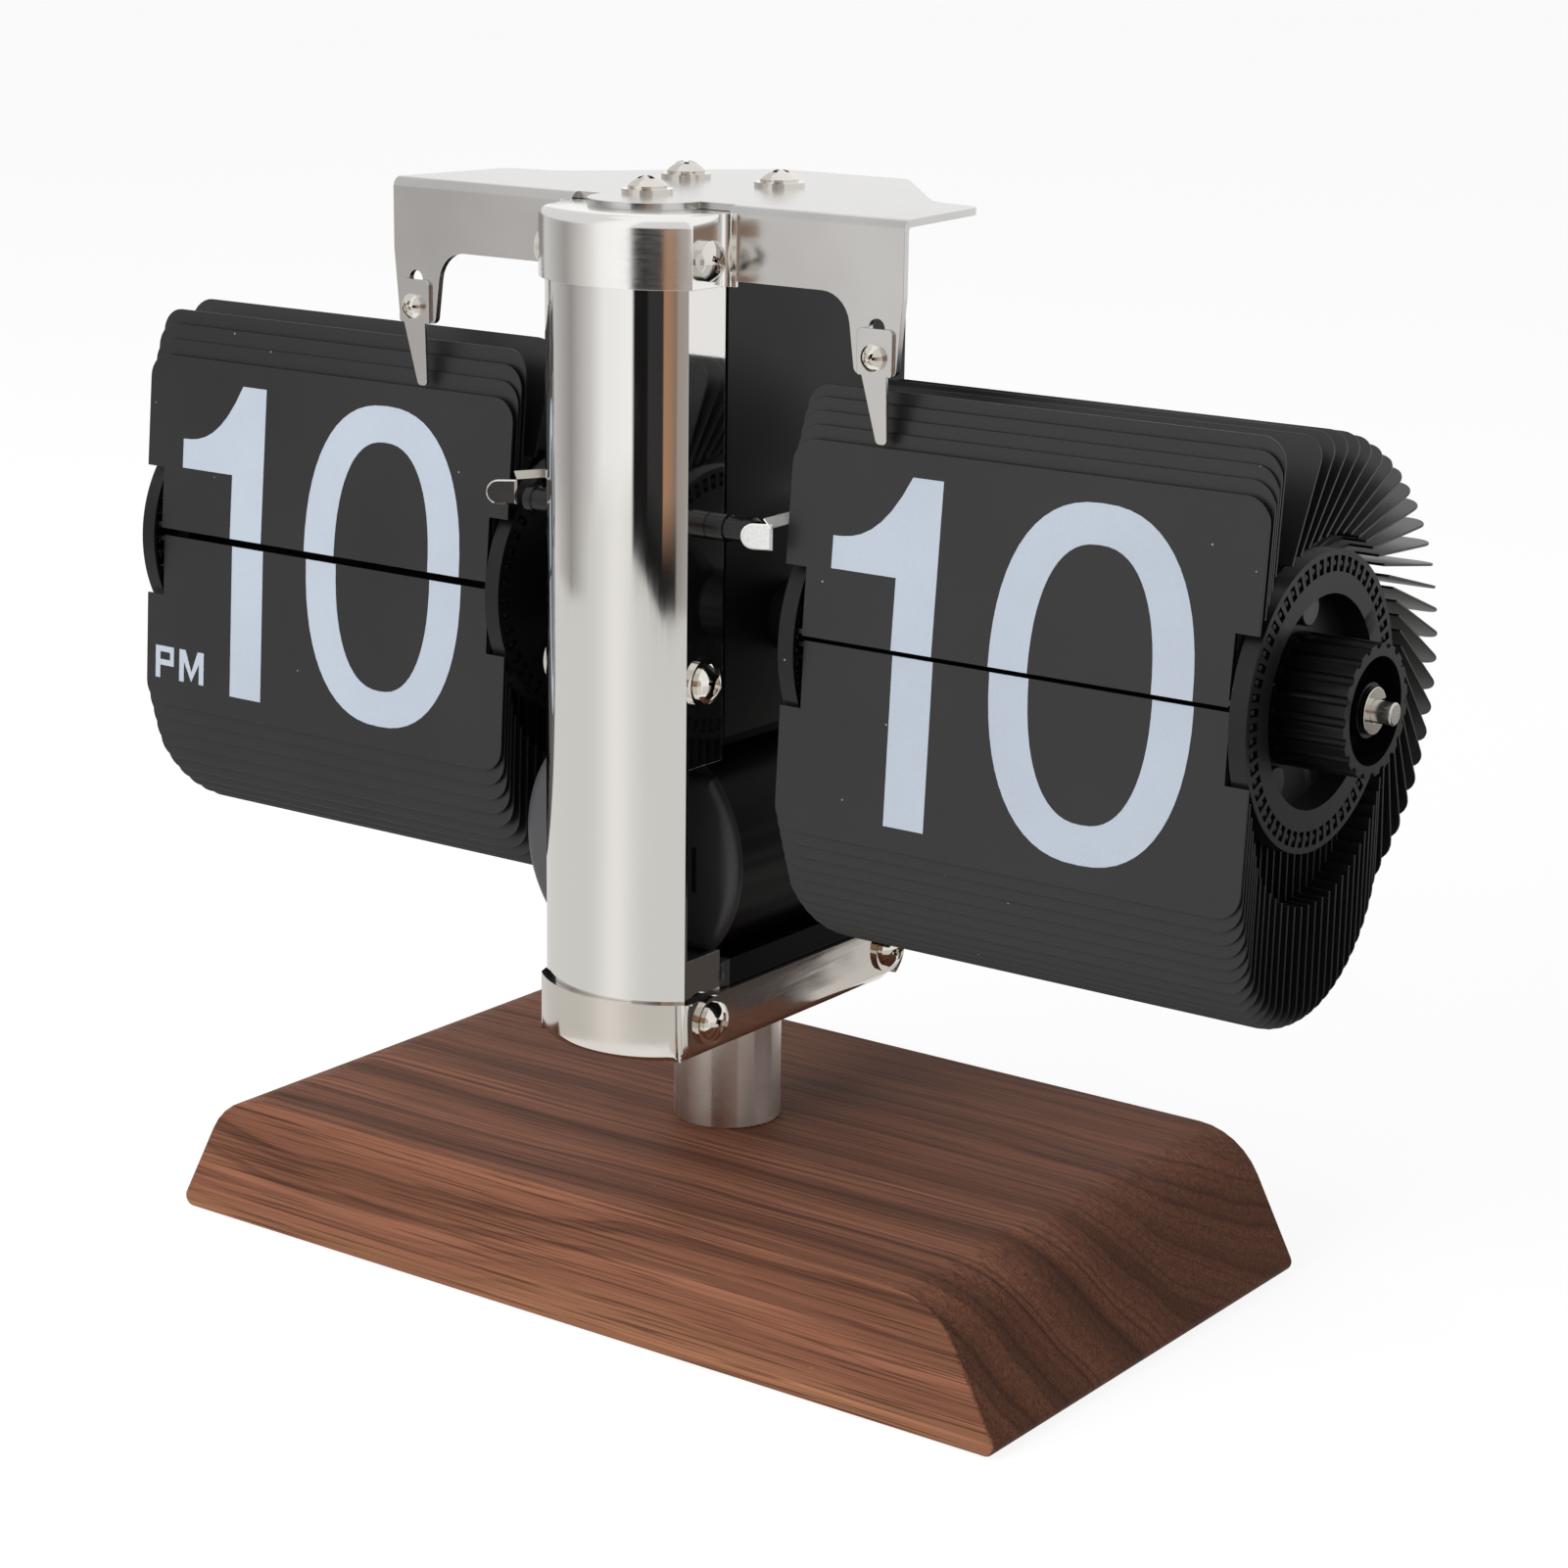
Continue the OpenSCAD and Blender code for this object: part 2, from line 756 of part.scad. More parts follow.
module movement_case() {
    inner_x = case_half_w - case_wall;
    cap_nose_z = cap_screw_z;
    color("dimgray") difference() {
        union() {
            difference() {
                case_block(-inner_x, case_half_w, 0, cover_top);
                case_block(-inner_x - 1, inner_x, case_wall, cover_top);
            }
            cover_screw_places() rod_x(-inner_x, inner_x + eps, boss_r);
            translate([shelf_x0, case_front_y + shelf_set, cover_top + case_gap]) {
                cube([shelf_w, shelf_d, flange_plate_t]);
            }
            translate([-inner_x, case_front_y, cover_top - eps]) cube([2 * inner_x, shelf_d, case_gap + 2 * eps]);
            case_nose(column_screw_z);
            case_nose(cap_nose_z);
        }
        at_axis() rod_x(inner_x - 1, case_half_w + 1, hub_r + run_fit);
        translate([0, transfer_place.x, transfer_place.y]) rod_x(0, inner_x + case_wall - 0.5, arbor_r + run_fit);
        side_screw_hole(column_screw_y, column_screw_z);
        side_screw_hole(cap_screw_y, cap_screw_z);
        cover_screw_places() rod_x(-inner_x - 1, -inner_x + cover_hole_l, small_screw_r + screw_fit);
        for (p = plate_screw_places) {
            translate([plate_x + p.x, p.y, plate_under - plate_screw_l - screw_tip_gap]) {
                cylinder(r = screw_r + screw_fit, h = plate_screw_l + 1);
            }
        }
        translate([0, rod_y, rod_z]) rod_x(-nose_half_w - 1, nose_half_w + 1, rod_r + screw_fit);
    }
}

module case_cover() {
    color("dimgray") difference() {
        case_block(-case_half_w, -case_half_w + case_wall, 0, cover_top);
        at_axis() rod_x(-case_half_w - 1, 0, hub_r + run_fit);
        translate([0, transfer_place.x, transfer_place.y]) rod_x(-case_half_w + 0.5, 0, arbor_r + run_fit);
        cover_screw_places() rod_x(-case_half_w - 1, 0, small_screw_r + screw_fit);
    }
}

module cover_screws() {
    color("silver") cover_screw_places() {
        translate([-case_half_w, 0, 0]) rotate([0, -90, 0]) small_screw(case_wall + cover_screw_l);
    }
}

// Plate across the case that holds the axle and the motor
module movement_plate() {
    color("tan") difference() {
        translate([movement_plate_x, case_front_y + case_wall, case_z0 + case_wall]) {
            cube([movement_plate_t, case_rear_y - case_front_y - 2 * case_wall, board_z0 - board_gap - case_z0]);
        }
        at_axis() rod_x(-case_half_w, case_half_w, axle_r + snug);
        translate([0, transfer_place.x, transfer_place.y]) rod_x(-case_half_w, case_half_w, arbor_r + run_fit);
        cover_screw_places() rod_x(-case_half_w, case_half_w, boss_r + screw_fit);
    }
}

module motor() {
    color("silver") translate([0, motor_place.x, motor_place.y]) {
        rod_x(movement_plate_x + movement_plate_t, motor_x1, motor_r);
        rod_x(motor_x1 - eps, motor_x1 + spindle_l, spindle_r);
    }
}

// Gear outline: straight-sided teeth, the first one centred on the angle given
function gear_points(teeth, module_size, first) =
    let (
        pitch_r = teeth * module_size / 2,
        root_r = pitch_r - 1.25 * module_size,
        tip_r = pitch_r + 0.8 * module_size,
        step = 360 / teeth
    )
    [for (i = [0 : teeth - 1]) each [
        for (q = [[-0.27, root_r], [-0.1, tip_r], [0.1, tip_r], [0.27, root_r]])
            let (a = first + (i + q.x) * step) [q.y * cos(a), q.y * sin(a)]
    ]];

module gear(teeth, module_size, first, x0, x1) {
    along_x(x0, x1) polygon(gear_points(teeth, module_size, first));
}

module motor_pinion() {
    color("gold") translate([0, motor_place.x, motor_place.y]) {
        x0 = motor_x1 + pinion_gap;
        gear(pinion_teeth, fine_module, motor_angle + 180, x0, x0 + motor_pinion_l);
    }
}

module circuit_board() {
    x = movement_plate_x;
    color("darkgreen") {
        translate([x, case_front_y + case_wall, board_z0]) {
            cube([board_t, case_rear_y - case_front_y - 2 * case_wall - board_short, board_z1 - board_z0]);
        }
        translate([x + board_t - eps, case_front_y + case_wall + chip_y, board_z0 + chip_z]) {
            cube([chip_t, chip_w, chip_w]);
        }
    }
}

module cannon_pinion() {
    color("gold") at_axis() difference() {
        union() {
            rod_x(movement_plate_x + movement_plate_t + axial_play, hub_end_x, tube_r);
            gear(cannon_teeth, coarse_module, transfer_angle, cannon_x0, cannon_x1);
        }
        rod_x(-case_half_w, case_half_w, axle_r + run_fit);
    }
}

module minute_wheel() {
    color("gold") at_axis() difference() {
        gear(wheel_teeth, fine_module, motor_angle + 180 / wheel_teeth, minute_wheel_x, minute_wheel_x + wheel_t);
        rod_x(-case_half_w, case_half_w, tube_r + snug);
    }
}

// Transfer gear: a wheel driven by the cannon pinion and a pinion that drives the hour wheel
module transfer_gear() {
    end = case_half_w - 0.9;
    color("gold") translate([0, transfer_place.x, transfer_place.y]) {
        rod_x(-end, end, arbor_r);
        gear(transfer_teeth, coarse_module, transfer_angle + 180 + 180 / transfer_teeth,
            transfer_wheel_x, transfer_wheel_x + wheel_t);
        gear(pinion_teeth, fine_module, transfer_angle + 180, hour_wheel_x - 0.6, movement_plate_x - axial_play);
    }
}

module hour_wheel() {
    color("gold") at_axis() difference() {
        union() {
            gear(wheel_teeth, fine_module, transfer_angle + 180 / wheel_teeth, hour_wheel_x, hour_wheel_x + wheel_t);
            rod_x(-hub_end_x, movement_plate_x - axial_play, tube_r);
        }
        rod_x(-case_half_w, case_half_w, axle_r + run_fit);
    }
}

// Axle and drums

module axle() {
    color("silver") at_axis() rod_x(axle_left_x, axle_right_x, axle_r);
}

module clip(x) {
    along_x(x, x + clip_t) difference() {
        circle(r = clip_r);
        circle(r = axle_r + snug);
        translate([0, -axle_r * 0.8]) square([clip_r + 1, axle_r * 1.6]);
    }
}

module axle_clips() {
    color("silver") at_axis() {
        clip(knob_hub_x + clip_gap);
        clip(-leaf_out_x - clip_gap - clip_t);
    }
}

// Drum rim: a ring with a groove for the leaves' tabs on its inner side and a slot for each leaf
module drum_rim(leaves) {
    difference() {
        rod_x(0, disc_t, disc_r);
        rod_x(-1, disc_t + 1, disc_rim_in_r);
        difference() {
            rod_x(-1, groove_depth, groove_out_r);
            rod_x(-2, groove_depth + 1, groove_in_r);
        }
        for (i = [0 : leaves - 1]) {
            rotate([i * 360 / leaves, 0, 0]) translate([0, groove_in_r + 0.3, -slot_w / 2]) {
                cube([disc_t + 1, groove_out_r - groove_in_r - 0.6, slot_w]);
            }
        }
    }
}

// Disc at the free end of a drum, from the leaves' outer edge inwards; its web lies deeper than its rim
module outer_disc(leaves) {
    rim_x = leaf_out_x - disc_inset - disc_t;
    at_axis() {
        translate([rim_x, 0, 0]) drum_rim(leaves);
        difference() {
            rod_x(rim_x - disc_web_step, rim_x + disc_t, disc_rim_in_r + snug);
            rod_x(rim_x - disc_web_step + disc_web_t, rim_x + disc_t + 1, disc_rim_in_r - disc_rim_wall);
            rod_x(rim_x - disc_web_step - 1, rim_x, axle_r + run_fit);
        }
    }
}

// Disc at the movement end of a drum, with the hub that turns in the case
module inner_disc(leaves) {
    rim_x = leaf_in_x + disc_inset + disc_t;
    at_axis() {
        translate([rim_x, 0, 0]) mirror([1, 0, 0]) drum_rim(leaves);
        difference() {
            union() {
                rod_x(rim_x - disc_t, rim_x - groove_depth, disc_rim_in_r + snug);
                rod_x(hub_end_x, rim_x - groove_depth, hub_r);
            }
            rod_x(0, rim_x + 1, axle_r + run_fit);
        }
    }
}

module drum_core() {
    x0 = leaf_in_x + disc_inset + disc_t - groove_depth;
    x1 = leaf_out_x - disc_inset - disc_t - disc_web_step;
    at_axis() difference() {
        rod_x(x0, x1, core_r);
        rod_x(x0 - 1, x1 + 1, axle_r + run_fit);
        rod_x(x0 + 6, x1 - 6, core_r - 1.6);
    }
}

module minute_inner_disc() {
    color("black") inner_disc(minute_leaves);
}

module minute_core() {
    color("black") drum_core();
}

module minute_outer_disc() {
    color("black") outer_disc(minute_leaves);
}

module hour_inner_disc() {
    color("black") mirror([1, 0, 0]) inner_disc(hour_leaves);
}

module hour_core() {
    color("black") mirror([1, 0, 0]) drum_core();
}

// The hour drum's free end carries a plain boss where the minute drum has its knob
module hour_outer_disc() {
    boss_x0 = leaf_out_x - disc_inset - disc_t - disc_web_step + disc_web_t;
    color("black") mirror([1, 0, 0]) {
        outer_disc(hour_leaves);
        at_axis() difference() {
            rod_x(boss_x0 - eps, leaf_out_x, hub_r);
            rod_x(boss_x0 - 1, leaf_out_x + 1, axle_r + run_fit);
        }
    }
}

// Fluted cup that a finger turns to set the time, with a hub round the axle
module setting_knob() {
    x0 = leaf_out_x - disc_inset - disc_t - disc_web_step + disc_web_t;
    color("black") at_axis() difference() {
        rod_x(x0, knob_x, knob_r);
        difference() {
            rod_x(knob_floor_x + knob_wall, knob_x + 1, knob_r - knob_wall - flute_r);
            rod_x(knob_floor_x, knob_hub_x, knob_hub_r);
        }
        rod_x(x0 - 1, knob_x, axle_r + run_fit);
        for (i = [0 : knob_flutes - 1]) {
            rotate([i * 360 / knob_flutes, 0, 0]) translate([0, knob_r, 0]) rod_x(x0 + 1.5, knob_x + 1, flute_r);
        }
    }
}

// Leaves

// Outline of a leaf: width along X, the free edge up, the pivot line at zero
leaf_side = leaf_w / 2;
leaf_neck = leaf_side - notch_w;
tab_end = leaf_side - disc_t - disc_inset + tab_reach;

function leaf_corners(tab) =
    let (side = leaf_side, neck = leaf_neck)
    [
        [side, leaf_l, leaf_corner_r],
        [-side, leaf_l, leaf_corner_r],
        [-side, notch_l, 0.6],
        [-neck, notch_l, 0],
        [-neck, tab_h / 2, 0],
        [-tab, tab_h / 2, 0],
        [-tab, -tab_h / 2, 0],
        [-neck, -tab_h / 2, 0],
        [-neck, -leaf_stub, 0],
        [neck, -leaf_stub, 0],
        [neck, -tab_h / 2, 0],
        [tab, -tab_h / 2, 0],
        [tab, tab_h / 2, 0],
        [neck, tab_h / 2, 0],
        [neck, notch_l, 0],
        [side, notch_l, 0.6]
    ];

// Place of leaf k from the axle: depth, height and angle from upright towards the back.
// Leaf 0 is the shown upper leaf. The next ones lean behind it, then fall back on each other
// over the top, and hang from the lower half of the drum round to the shown lower leaf.
function front_leaf(k, pitch) =
    let (
        a = first_angle + k * pitch,
        y = -pivot_r * cos(a),
        z = pivot_r * sin(a),
        n0 = leaf_pivot_y * cos(leaf_lean) - leaf_pivot_z * sin(leaf_lean),
        n = max(y * cos(leaf_lean) - z * sin(leaf_lean), n0 + (k > 0 ? first_step : 0) + max(0, k - 1) * leaf_step),
        m = y * sin(leaf_lean) + z * cos(leaf_lean)
    )
    k == 0 ? [leaf_pivot_y, leaf_pivot_z, leaf_lean]
        : [n * cos(leaf_lean) + m * sin(leaf_lean), m * cos(leaf_lean) - n * sin(leaf_lean), leaf_lean];

function rest_angle(pitch) = 90 + pitch / 2 - asin(leaf_step / (2 * pivot_r * sin(pitch / 2)));

// The first hour leaf behind the front ones stands free of the fan
function fan_lean(a, pitch) =
    pitch == hour_pitch && a - pitch < fan_start ? loose_lean : min(180, a - 90 + rest_angle(pitch));

function fan_leaf(a, pitch) = [-pivot_r * cos(a), pivot_r * sin(a), fan_lean(a, pitch)];

function hanging_leaf(k, a, leaves) = [
    max(-pivot_r * cos(a), -pivot_r + (leaves - 1 - k) * leaf_step),
    pivot_r * sin(a),
    180 + leaf_tilt * max(0, (a - 270) / 90)
];

function leaf_angle(k, leaves) = first_angle + k * 360 / leaves;
function hang_start(leaves) = 270 - rest_angle(360 / leaves);
function is_front(k, leaves) = leaf_angle(k, leaves) < fan_start;
function is_hanging(k, leaves) = leaf_angle(k, leaves) > hang_start(leaves);

function leaf_place(k, leaves) =
    is_front(k, leaves) ? front_leaf(k, 360 / leaves)
        : is_hanging(k, leaves) ? hanging_leaf(k, leaf_angle(k, leaves), leaves)
        : fan_leaf(leaf_angle(k, leaves), 360 / leaves);

// Children drawn in a leaf's own plane go to the place of leaf k
module on_leaf(k, leaves, mid_x) {
    p = leaf_place(k, leaves);
    at_axis() translate([mid_x, p.x, p.y]) rotate([90 - p.z, 0, 0]) children();
}

module leaf_sheet(tab) {
    translate([0, 0, -leaf_t / 2]) linear_extrude(leaf_t) polygon(rounded(leaf_corners(tab)));
}

module leaf(k, leaves, mid_x) {
    on_leaf(k, leaves, mid_x) leaf_sheet(tab_end);
}

// The leaf that is about to fall, with round pins in place of its flat tabs
module falling_leaf(leaves, mid_x) {
    on_leaf(0, leaves, mid_x) {
        leaf_sheet(leaf_neck + eps);
        both_sides() rod_x(leaf_neck - 1.2, tab_end, tab_h / 2);
    }
}

module front_leaves(leaves, mid_x) {
    for (k = [1 : leaves - 1]) if (is_front(k, leaves)) leaf(k, leaves, mid_x);
}

module fan_leaves(leaves, mid_x) {
    for (k = [1 : leaves - 1]) {
        if (!is_front(k, leaves) && !is_hanging(k, leaves)) leaf(k, leaves, mid_x);
    }
}

module hanging_leaves(leaves, mid_x) {
    for (k = [1 : leaves - 1]) if (is_hanging(k, leaves)) leaf(k, leaves, mid_x);
}

module minute_leaf() {
    color("darkslategray") falling_leaf(minute_leaves, leaf_mid_x);
}

module minute_front_leaves() {
    color("darkslategray") front_leaves(minute_leaves, leaf_mid_x);
}

module minute_fan_leaves() {
    color("darkslategray") fan_leaves(minute_leaves, leaf_mid_x);
}

module minute_hanging_leaves() {
    color("darkslategray") hanging_leaves(minute_leaves, leaf_mid_x);
}

module hour_leaf() {
    color("darkslategray") falling_leaf(hour_leaves, -leaf_mid_x);
}

module hour_front_leaves() {
    color("darkslategray") front_leaves(hour_leaves, -leaf_mid_x);
}

module hour_fan_leaves() {
    color("darkslategray") fan_leaves(hour_leaves, -leaf_mid_x);
}

module hour_hanging_leaves() {
    color("darkslategray") hanging_leaves(hour_leaves, -leaf_mid_x);
}

// Numerals, drawn about the split line in the middle of a leaf pair

one_x = -14.9;
one_extra_w = 0.4;
one_stem_w = stroke_w + one_extra_w;
flag_w = 10.4;
flag_drop = 9;
flag_h = 4.4;
flag_reach = 1.6;
second_one_shift = 3;
nought_x = 12.3;

function oval(half_w, half_h) = [
    for (i = [0 : 59])
        let (c = cos(i * 6), s = sin(i * 6), p = 0.84)
        [half_w * sign(c) * pow(abs(c), p), half_h * sign(s) * pow(abs(s), p)]
];

module nought() {
    translate([nought_x, 0]) difference() {
        polygon(oval(nought_w / 2, numeral_h / 2));
        polygon(oval(nought_w / 2 - stroke_w, numeral_h / 2 - stroke_w * 0.88));
    }
}

module one(x) {
    top = numeral_h / 2;
    right = x + one_stem_w / 2;
    left = x - one_stem_w / 2;
    flag_x = left - flag_w;
    flag_z = top - flag_drop;
    bow_w = left + flag_reach - flag_x;
    bow = [for (i = [0 : 8]) [flag_x + bow_w * i / 8, flag_z + flag_drop * pow(i / 8, 2.6)]];
    polygon(concat([[right, -top], [right, top]], [for (i = [8 : -1 : 0]) bow[i]],
        [[flag_x, flag_z - flag_h], [left, flag_z - flag_h], [left, -top]]));
}

module ten() {
    one(one_x);
    nought();
}

module eleven() {
    one(one_x);
    one(second_one_shift - one_x);
}

// Letters P and M of the afternoon mark, built from strokes beside the leaf's outer edge
mark_h = 5;
mark_stroke = 1;
mark_inset = 2;
mark_drop = 22.6;
mark_bow_w = 3.4;
mark_bow_h = 3;
mark_eye_w = 2.1;
mark_eye_h = 1.2;
mark_eye_drop = 2.1;
mark_step = 5.1;
mark_m_w = 5.2;
mark_v_top = 1.7;
mark_v_foot = 0.2;

module afternoon_mark() {
    h = mark_h;
    s = mark_stroke;
    half = mark_m_w / 2;
    translate([mark_inset - leaf_w / 2, -mark_drop]) {
        square([s, h]);
        difference() {
            translate([s / 2, h - mark_bow_h]) square([mark_bow_w, mark_bow_h]);
            translate([s, h - mark_eye_drop]) square([mark_eye_w, mark_eye_h]);
        }
        translate([mark_step, 0]) {
            square([s, h]);
            translate([mark_m_w - s, 0]) square([s, h]);
            polygon([[0, h], [s * 1.3, h], [half, mark_v_top], [half, mark_v_foot]]);
            polygon([[mark_m_w, h], [mark_m_w - s * 1.3, h], [half, mark_v_top], [half, mark_v_foot]]);
        }
    }
}

// The part of a numeral on one leaf: the side above or below the split, moved to the leaf's own pivot
split_gap = pivot_r * (sin(first_angle) - sin(first_angle - minute_pitch)) / 2 - leaf_stub;

module upper_half() {
    lift = leaf_stub + split_gap;
    translate([0, -lift]) intersection() {
        children();
        translate([-leaf_w / 2, split_gap + 0.05]) square([leaf_w, leaf_l]);
    }
}

module lower_half() {
    lift = leaf_stub + split_gap;
    translate([0, lift]) intersection() {
        children();
        translate([-leaf_w / 2, -leaf_l - split_gap - 0.05]) square([leaf_w, leaf_l]);
    }
}

// Print on the front of an upright leaf, on the back of one, and on the front of a hanging leaf
module print_front(k, leaves, mid_x) {
    on_leaf(k, leaves, mid_x) translate([0, 0, leaf_t / 2]) linear_extrude(print_t) upper_half() children();
}

module print_back(k, leaves, mid_x) {
    on_leaf(k, leaves, mid_x) translate([0, 0, -leaf_t / 2 - print_t]) linear_extrude(print_t) {
        mirror([0, 1]) lower_half() children();
    }
}

module print_hanging(k, leaves, mid_x) {
    on_leaf(k, leaves, mid_x) translate([0, 0, -leaf_t / 2 - print_t]) linear_extrude(print_t) {
        mirror([0, 1]) lower_half() children();
    }
}

module minute_leaf_numerals() {
    color("lightsteelblue") {
        print_front(0, minute_leaves, leaf_mid_x) ten();
        print_back(0, minute_leaves, leaf_mid_x) eleven();
    }
}

module minute_numerals() {
    color("lightsteelblue") {
        print_hanging(minute_leaves - 1, minute_leaves, leaf_mid_x) ten();
        print_front(1, minute_leaves, leaf_mid_x) eleven();
    }
}

module hour_face() {
    ten();
    afternoon_mark();
}

module hour_leaf_numerals() {
    color("lightsteelblue") {
        print_front(0, hour_leaves, -leaf_mid_x) hour_face();
        print_back(0, hour_leaves, -leaf_mid_x) hour_face();
    }
}

module hour_numerals() {
    color("lightsteelblue") {
        print_hanging(hour_leaves - 1, hour_leaves, -leaf_mid_x) hour_face();
        print_front(1, hour_leaves, -leaf_mid_x) hour_face();
    }
}

// Battery

module at_tube() {
    translate([tube_x, 0, tube_z]) children();
}

module battery_housing() {
    foot_z0 = bracket_z + sheet_t;
    foot_top = max(bracket_top, tube_z - tube_out_r) + foot_rim_h;
    color("black") difference() {
        union() {
            at_tube() rod_y(tube_front_y - eps, tube_rear_y, tube_out_r);
            intersection() {
                at_tube() rod_y(tube_front_y - front_plate_t, tube_front_y, front_plate_r);
                at_tube() translate([-tube_span, -tube_span, -front_plate_half_h]) {
                    cube([2 * tube_span, 2 * tube_span, 2 * front_plate_half_h]);
                }
            }
            translate([-nose_half_w, nose_y, foot_z0]) {
                cube([2 * nose_half_w, bracket_rear_y - 1 - nose_y, foot_top - foot_z0]);
            }
            translate([-column_half_w, column_rear_y + 0.3, bracket_top + 0.1]) {
                cube([2 * column_half_w, bracket_rear_y - 1 - column_rear_y, foot_rim_h - 0.1]);
            }
            translate([-case_half_w, case_front_y + 1, tube_z + tube_out_r - 4]) {
                cube([2 * case_half_w - 6, case_rear_y - case_front_y - 2, case_z0 - tube_z - tube_out_r + 4]);
            }
        }
        at_tube() rod_y(tube_front_y, tube_rear_y + 1, tube_in_r);
        side_screw_hole(bracket_screw_y, bracket_screw_z);
        side_screw_hole(bracket_rear_screw_y, bracket_screw_z);
        at_post() translate([0, 0, foot_z0 - 1]) cylinder(r = nut_r + 0.3, h = nut_h + 2);
    }
}

module battery_cell() {
    y1 = cell_front_y + cell_l;
    color("peru") at_tube() {
        rod_y(cell_front_y, y1 - button_h, cell_r);
        rod_y(y1 - button_h - eps, y1, button_r);
    }
}

module battery_contacts() {
    color("silver") at_tube() {
        rod_y(tube_front_y, tube_front_y + contact_t, cell_r * 0.6);
    }
}

// Contact on the inside of the cover, against the cell's button
module cover_contact() {
    color("silver") at_tube() rod_y(tube_rear_y - cover_lip - contact_t, tube_rear_y - cover_lip, button_r + 1);
}

module battery_cover() {
    color("black") at_tube() difference() {
        union() {
            rod_y(tube_rear_y, tube_rear_y + cover_t, tube_out_r);
            rod_y(tube_rear_y - cover_lip, tube_rear_y + eps, tube_in_r - cover_play);
        }
        for (x = [-tube_in_r / 2, tube_in_r / 2]) {
            translate([x - 1.2, tube_rear_y + cover_t - 0.8, -6]) cube([2.4, 2, 12]);
        }
    }
}

wood_base();
felt_pad();
post_bolt();
bolt_nut();
stand_post();
bottom_bracket();
bracket_screws();
front_column();
column_screws();
column_cap();
cap_screws();
top_plate();
plate_screws();
hour_finger();
minute_finger();
finger_screws();
guide_rod();
guide_tongues();
movement_case();
case_cover();
cover_screws();
movement_plate();
motor();
motor_pinion();
circuit_board();
axle();
axle_clips();
minute_inner_disc();
minute_core();
minute_outer_disc();
setting_knob();
cannon_pinion();
minute_wheel();
transfer_gear();
hour_inner_disc();
hour_core();
hour_outer_disc();
hour_wheel();
minute_leaf();
minute_front_leaves();
minute_fan_leaves();
minute_hanging_leaves();
hour_leaf();
hour_front_leaves();
hour_fan_leaves();
hour_hanging_leaves();
minute_leaf_numerals();
minute_numerals();
hour_leaf_numerals();
hour_numerals();
battery_housing();
battery_cell();
battery_contacts();
battery_cover();
cover_contact();
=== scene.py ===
"""Flip clock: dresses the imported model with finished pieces, materials, light and a camera.

The file is laid out as an add-on. Each operator makes one piece or one group of like pieces,
the panel in the 3D view's sidebar lists them, and main() runs them in order.
"""

import json
import math

import bmesh
import bpy
from mathutils import Matrix, Vector

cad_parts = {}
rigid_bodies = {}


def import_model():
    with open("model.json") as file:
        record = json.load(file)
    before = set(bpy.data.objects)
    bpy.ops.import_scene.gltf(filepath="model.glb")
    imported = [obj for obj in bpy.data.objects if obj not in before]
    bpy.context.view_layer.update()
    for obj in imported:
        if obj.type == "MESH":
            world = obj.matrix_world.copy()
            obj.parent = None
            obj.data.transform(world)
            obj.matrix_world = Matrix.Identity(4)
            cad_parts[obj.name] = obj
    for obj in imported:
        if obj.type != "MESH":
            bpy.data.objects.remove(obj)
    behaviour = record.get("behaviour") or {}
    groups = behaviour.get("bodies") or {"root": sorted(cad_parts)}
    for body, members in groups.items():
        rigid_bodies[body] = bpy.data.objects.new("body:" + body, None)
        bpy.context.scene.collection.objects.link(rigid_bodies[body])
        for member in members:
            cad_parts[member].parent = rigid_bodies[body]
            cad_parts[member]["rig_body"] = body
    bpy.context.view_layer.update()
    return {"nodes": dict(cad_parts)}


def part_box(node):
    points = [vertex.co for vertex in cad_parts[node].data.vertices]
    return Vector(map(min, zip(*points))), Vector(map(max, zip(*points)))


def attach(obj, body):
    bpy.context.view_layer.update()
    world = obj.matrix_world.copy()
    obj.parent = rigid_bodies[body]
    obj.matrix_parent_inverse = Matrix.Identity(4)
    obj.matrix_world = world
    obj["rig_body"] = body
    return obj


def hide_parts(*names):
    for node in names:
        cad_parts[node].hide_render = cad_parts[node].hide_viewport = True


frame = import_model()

bl_info = {
    "name": "Flip Clock",
    "version": (1, 0, 0),
    "blender": (4, 5, 0),
    "location": "3D View > Sidebar > Flip Clock",
    "description": "Builds a falling-leaf clock on a walnut base around its packed model",
    "category": "Object",
}

MM = 0.001

# Axle of both drums, and the leaves that hang round it
AXLE_Y = -3.6 * MM
AXLE_Z = 98 * MM
LEAF_MID_X = 60.4 * MM
PIVOT_R = 18 * MM
LEAF_STEP = 0.5 * MM
LEAF_PROUD = 0.6 * MM
FIRST_STEP = 1 * MM
FIRST_ANGLE = 9
FAN_START = 38
LOOSE_LEAN = 17
LEAF_LEAN = 5.2
LEAF_TILT = 3.4
MINUTE_LEAVES = 60
HOUR_LEAVES = 48
DRUMS = (("minute", MINUTE_LEAVES, 1), ("hour", HOUR_LEAVES, -1))

# A leaf's stub beyond its pivots, its side notches and the bar whose ends are the pivots
LEAF_STUB = 0.6 * MM
NOTCH_W = 3.4 * MM
NOTCH_L = 8.7 * MM
BAR_W = 68.1 * MM
BAR_H = 0.7 * MM

# Outside faces of a drum's discs, from the clock's middle, and the pins that show in them
DISC_FACES = (24.65 * MM, 96.15 * MM)
PIN_RING_R = 17.85 * MM
PIN_R = 0.5 * MM
PIN_L = 2.1 * MM
PIN_SUNK = 0.1 * MM

# Bosses in the well of the minute drum's outer disc
BOSS_ANGLES = (85, 239, 342)
BOSS_X = 92.8 * MM
BOSS_RING_R = 11.7 * MM
BOSS_R = 2.3 * MM
BOSS_L = 1.3 * MM

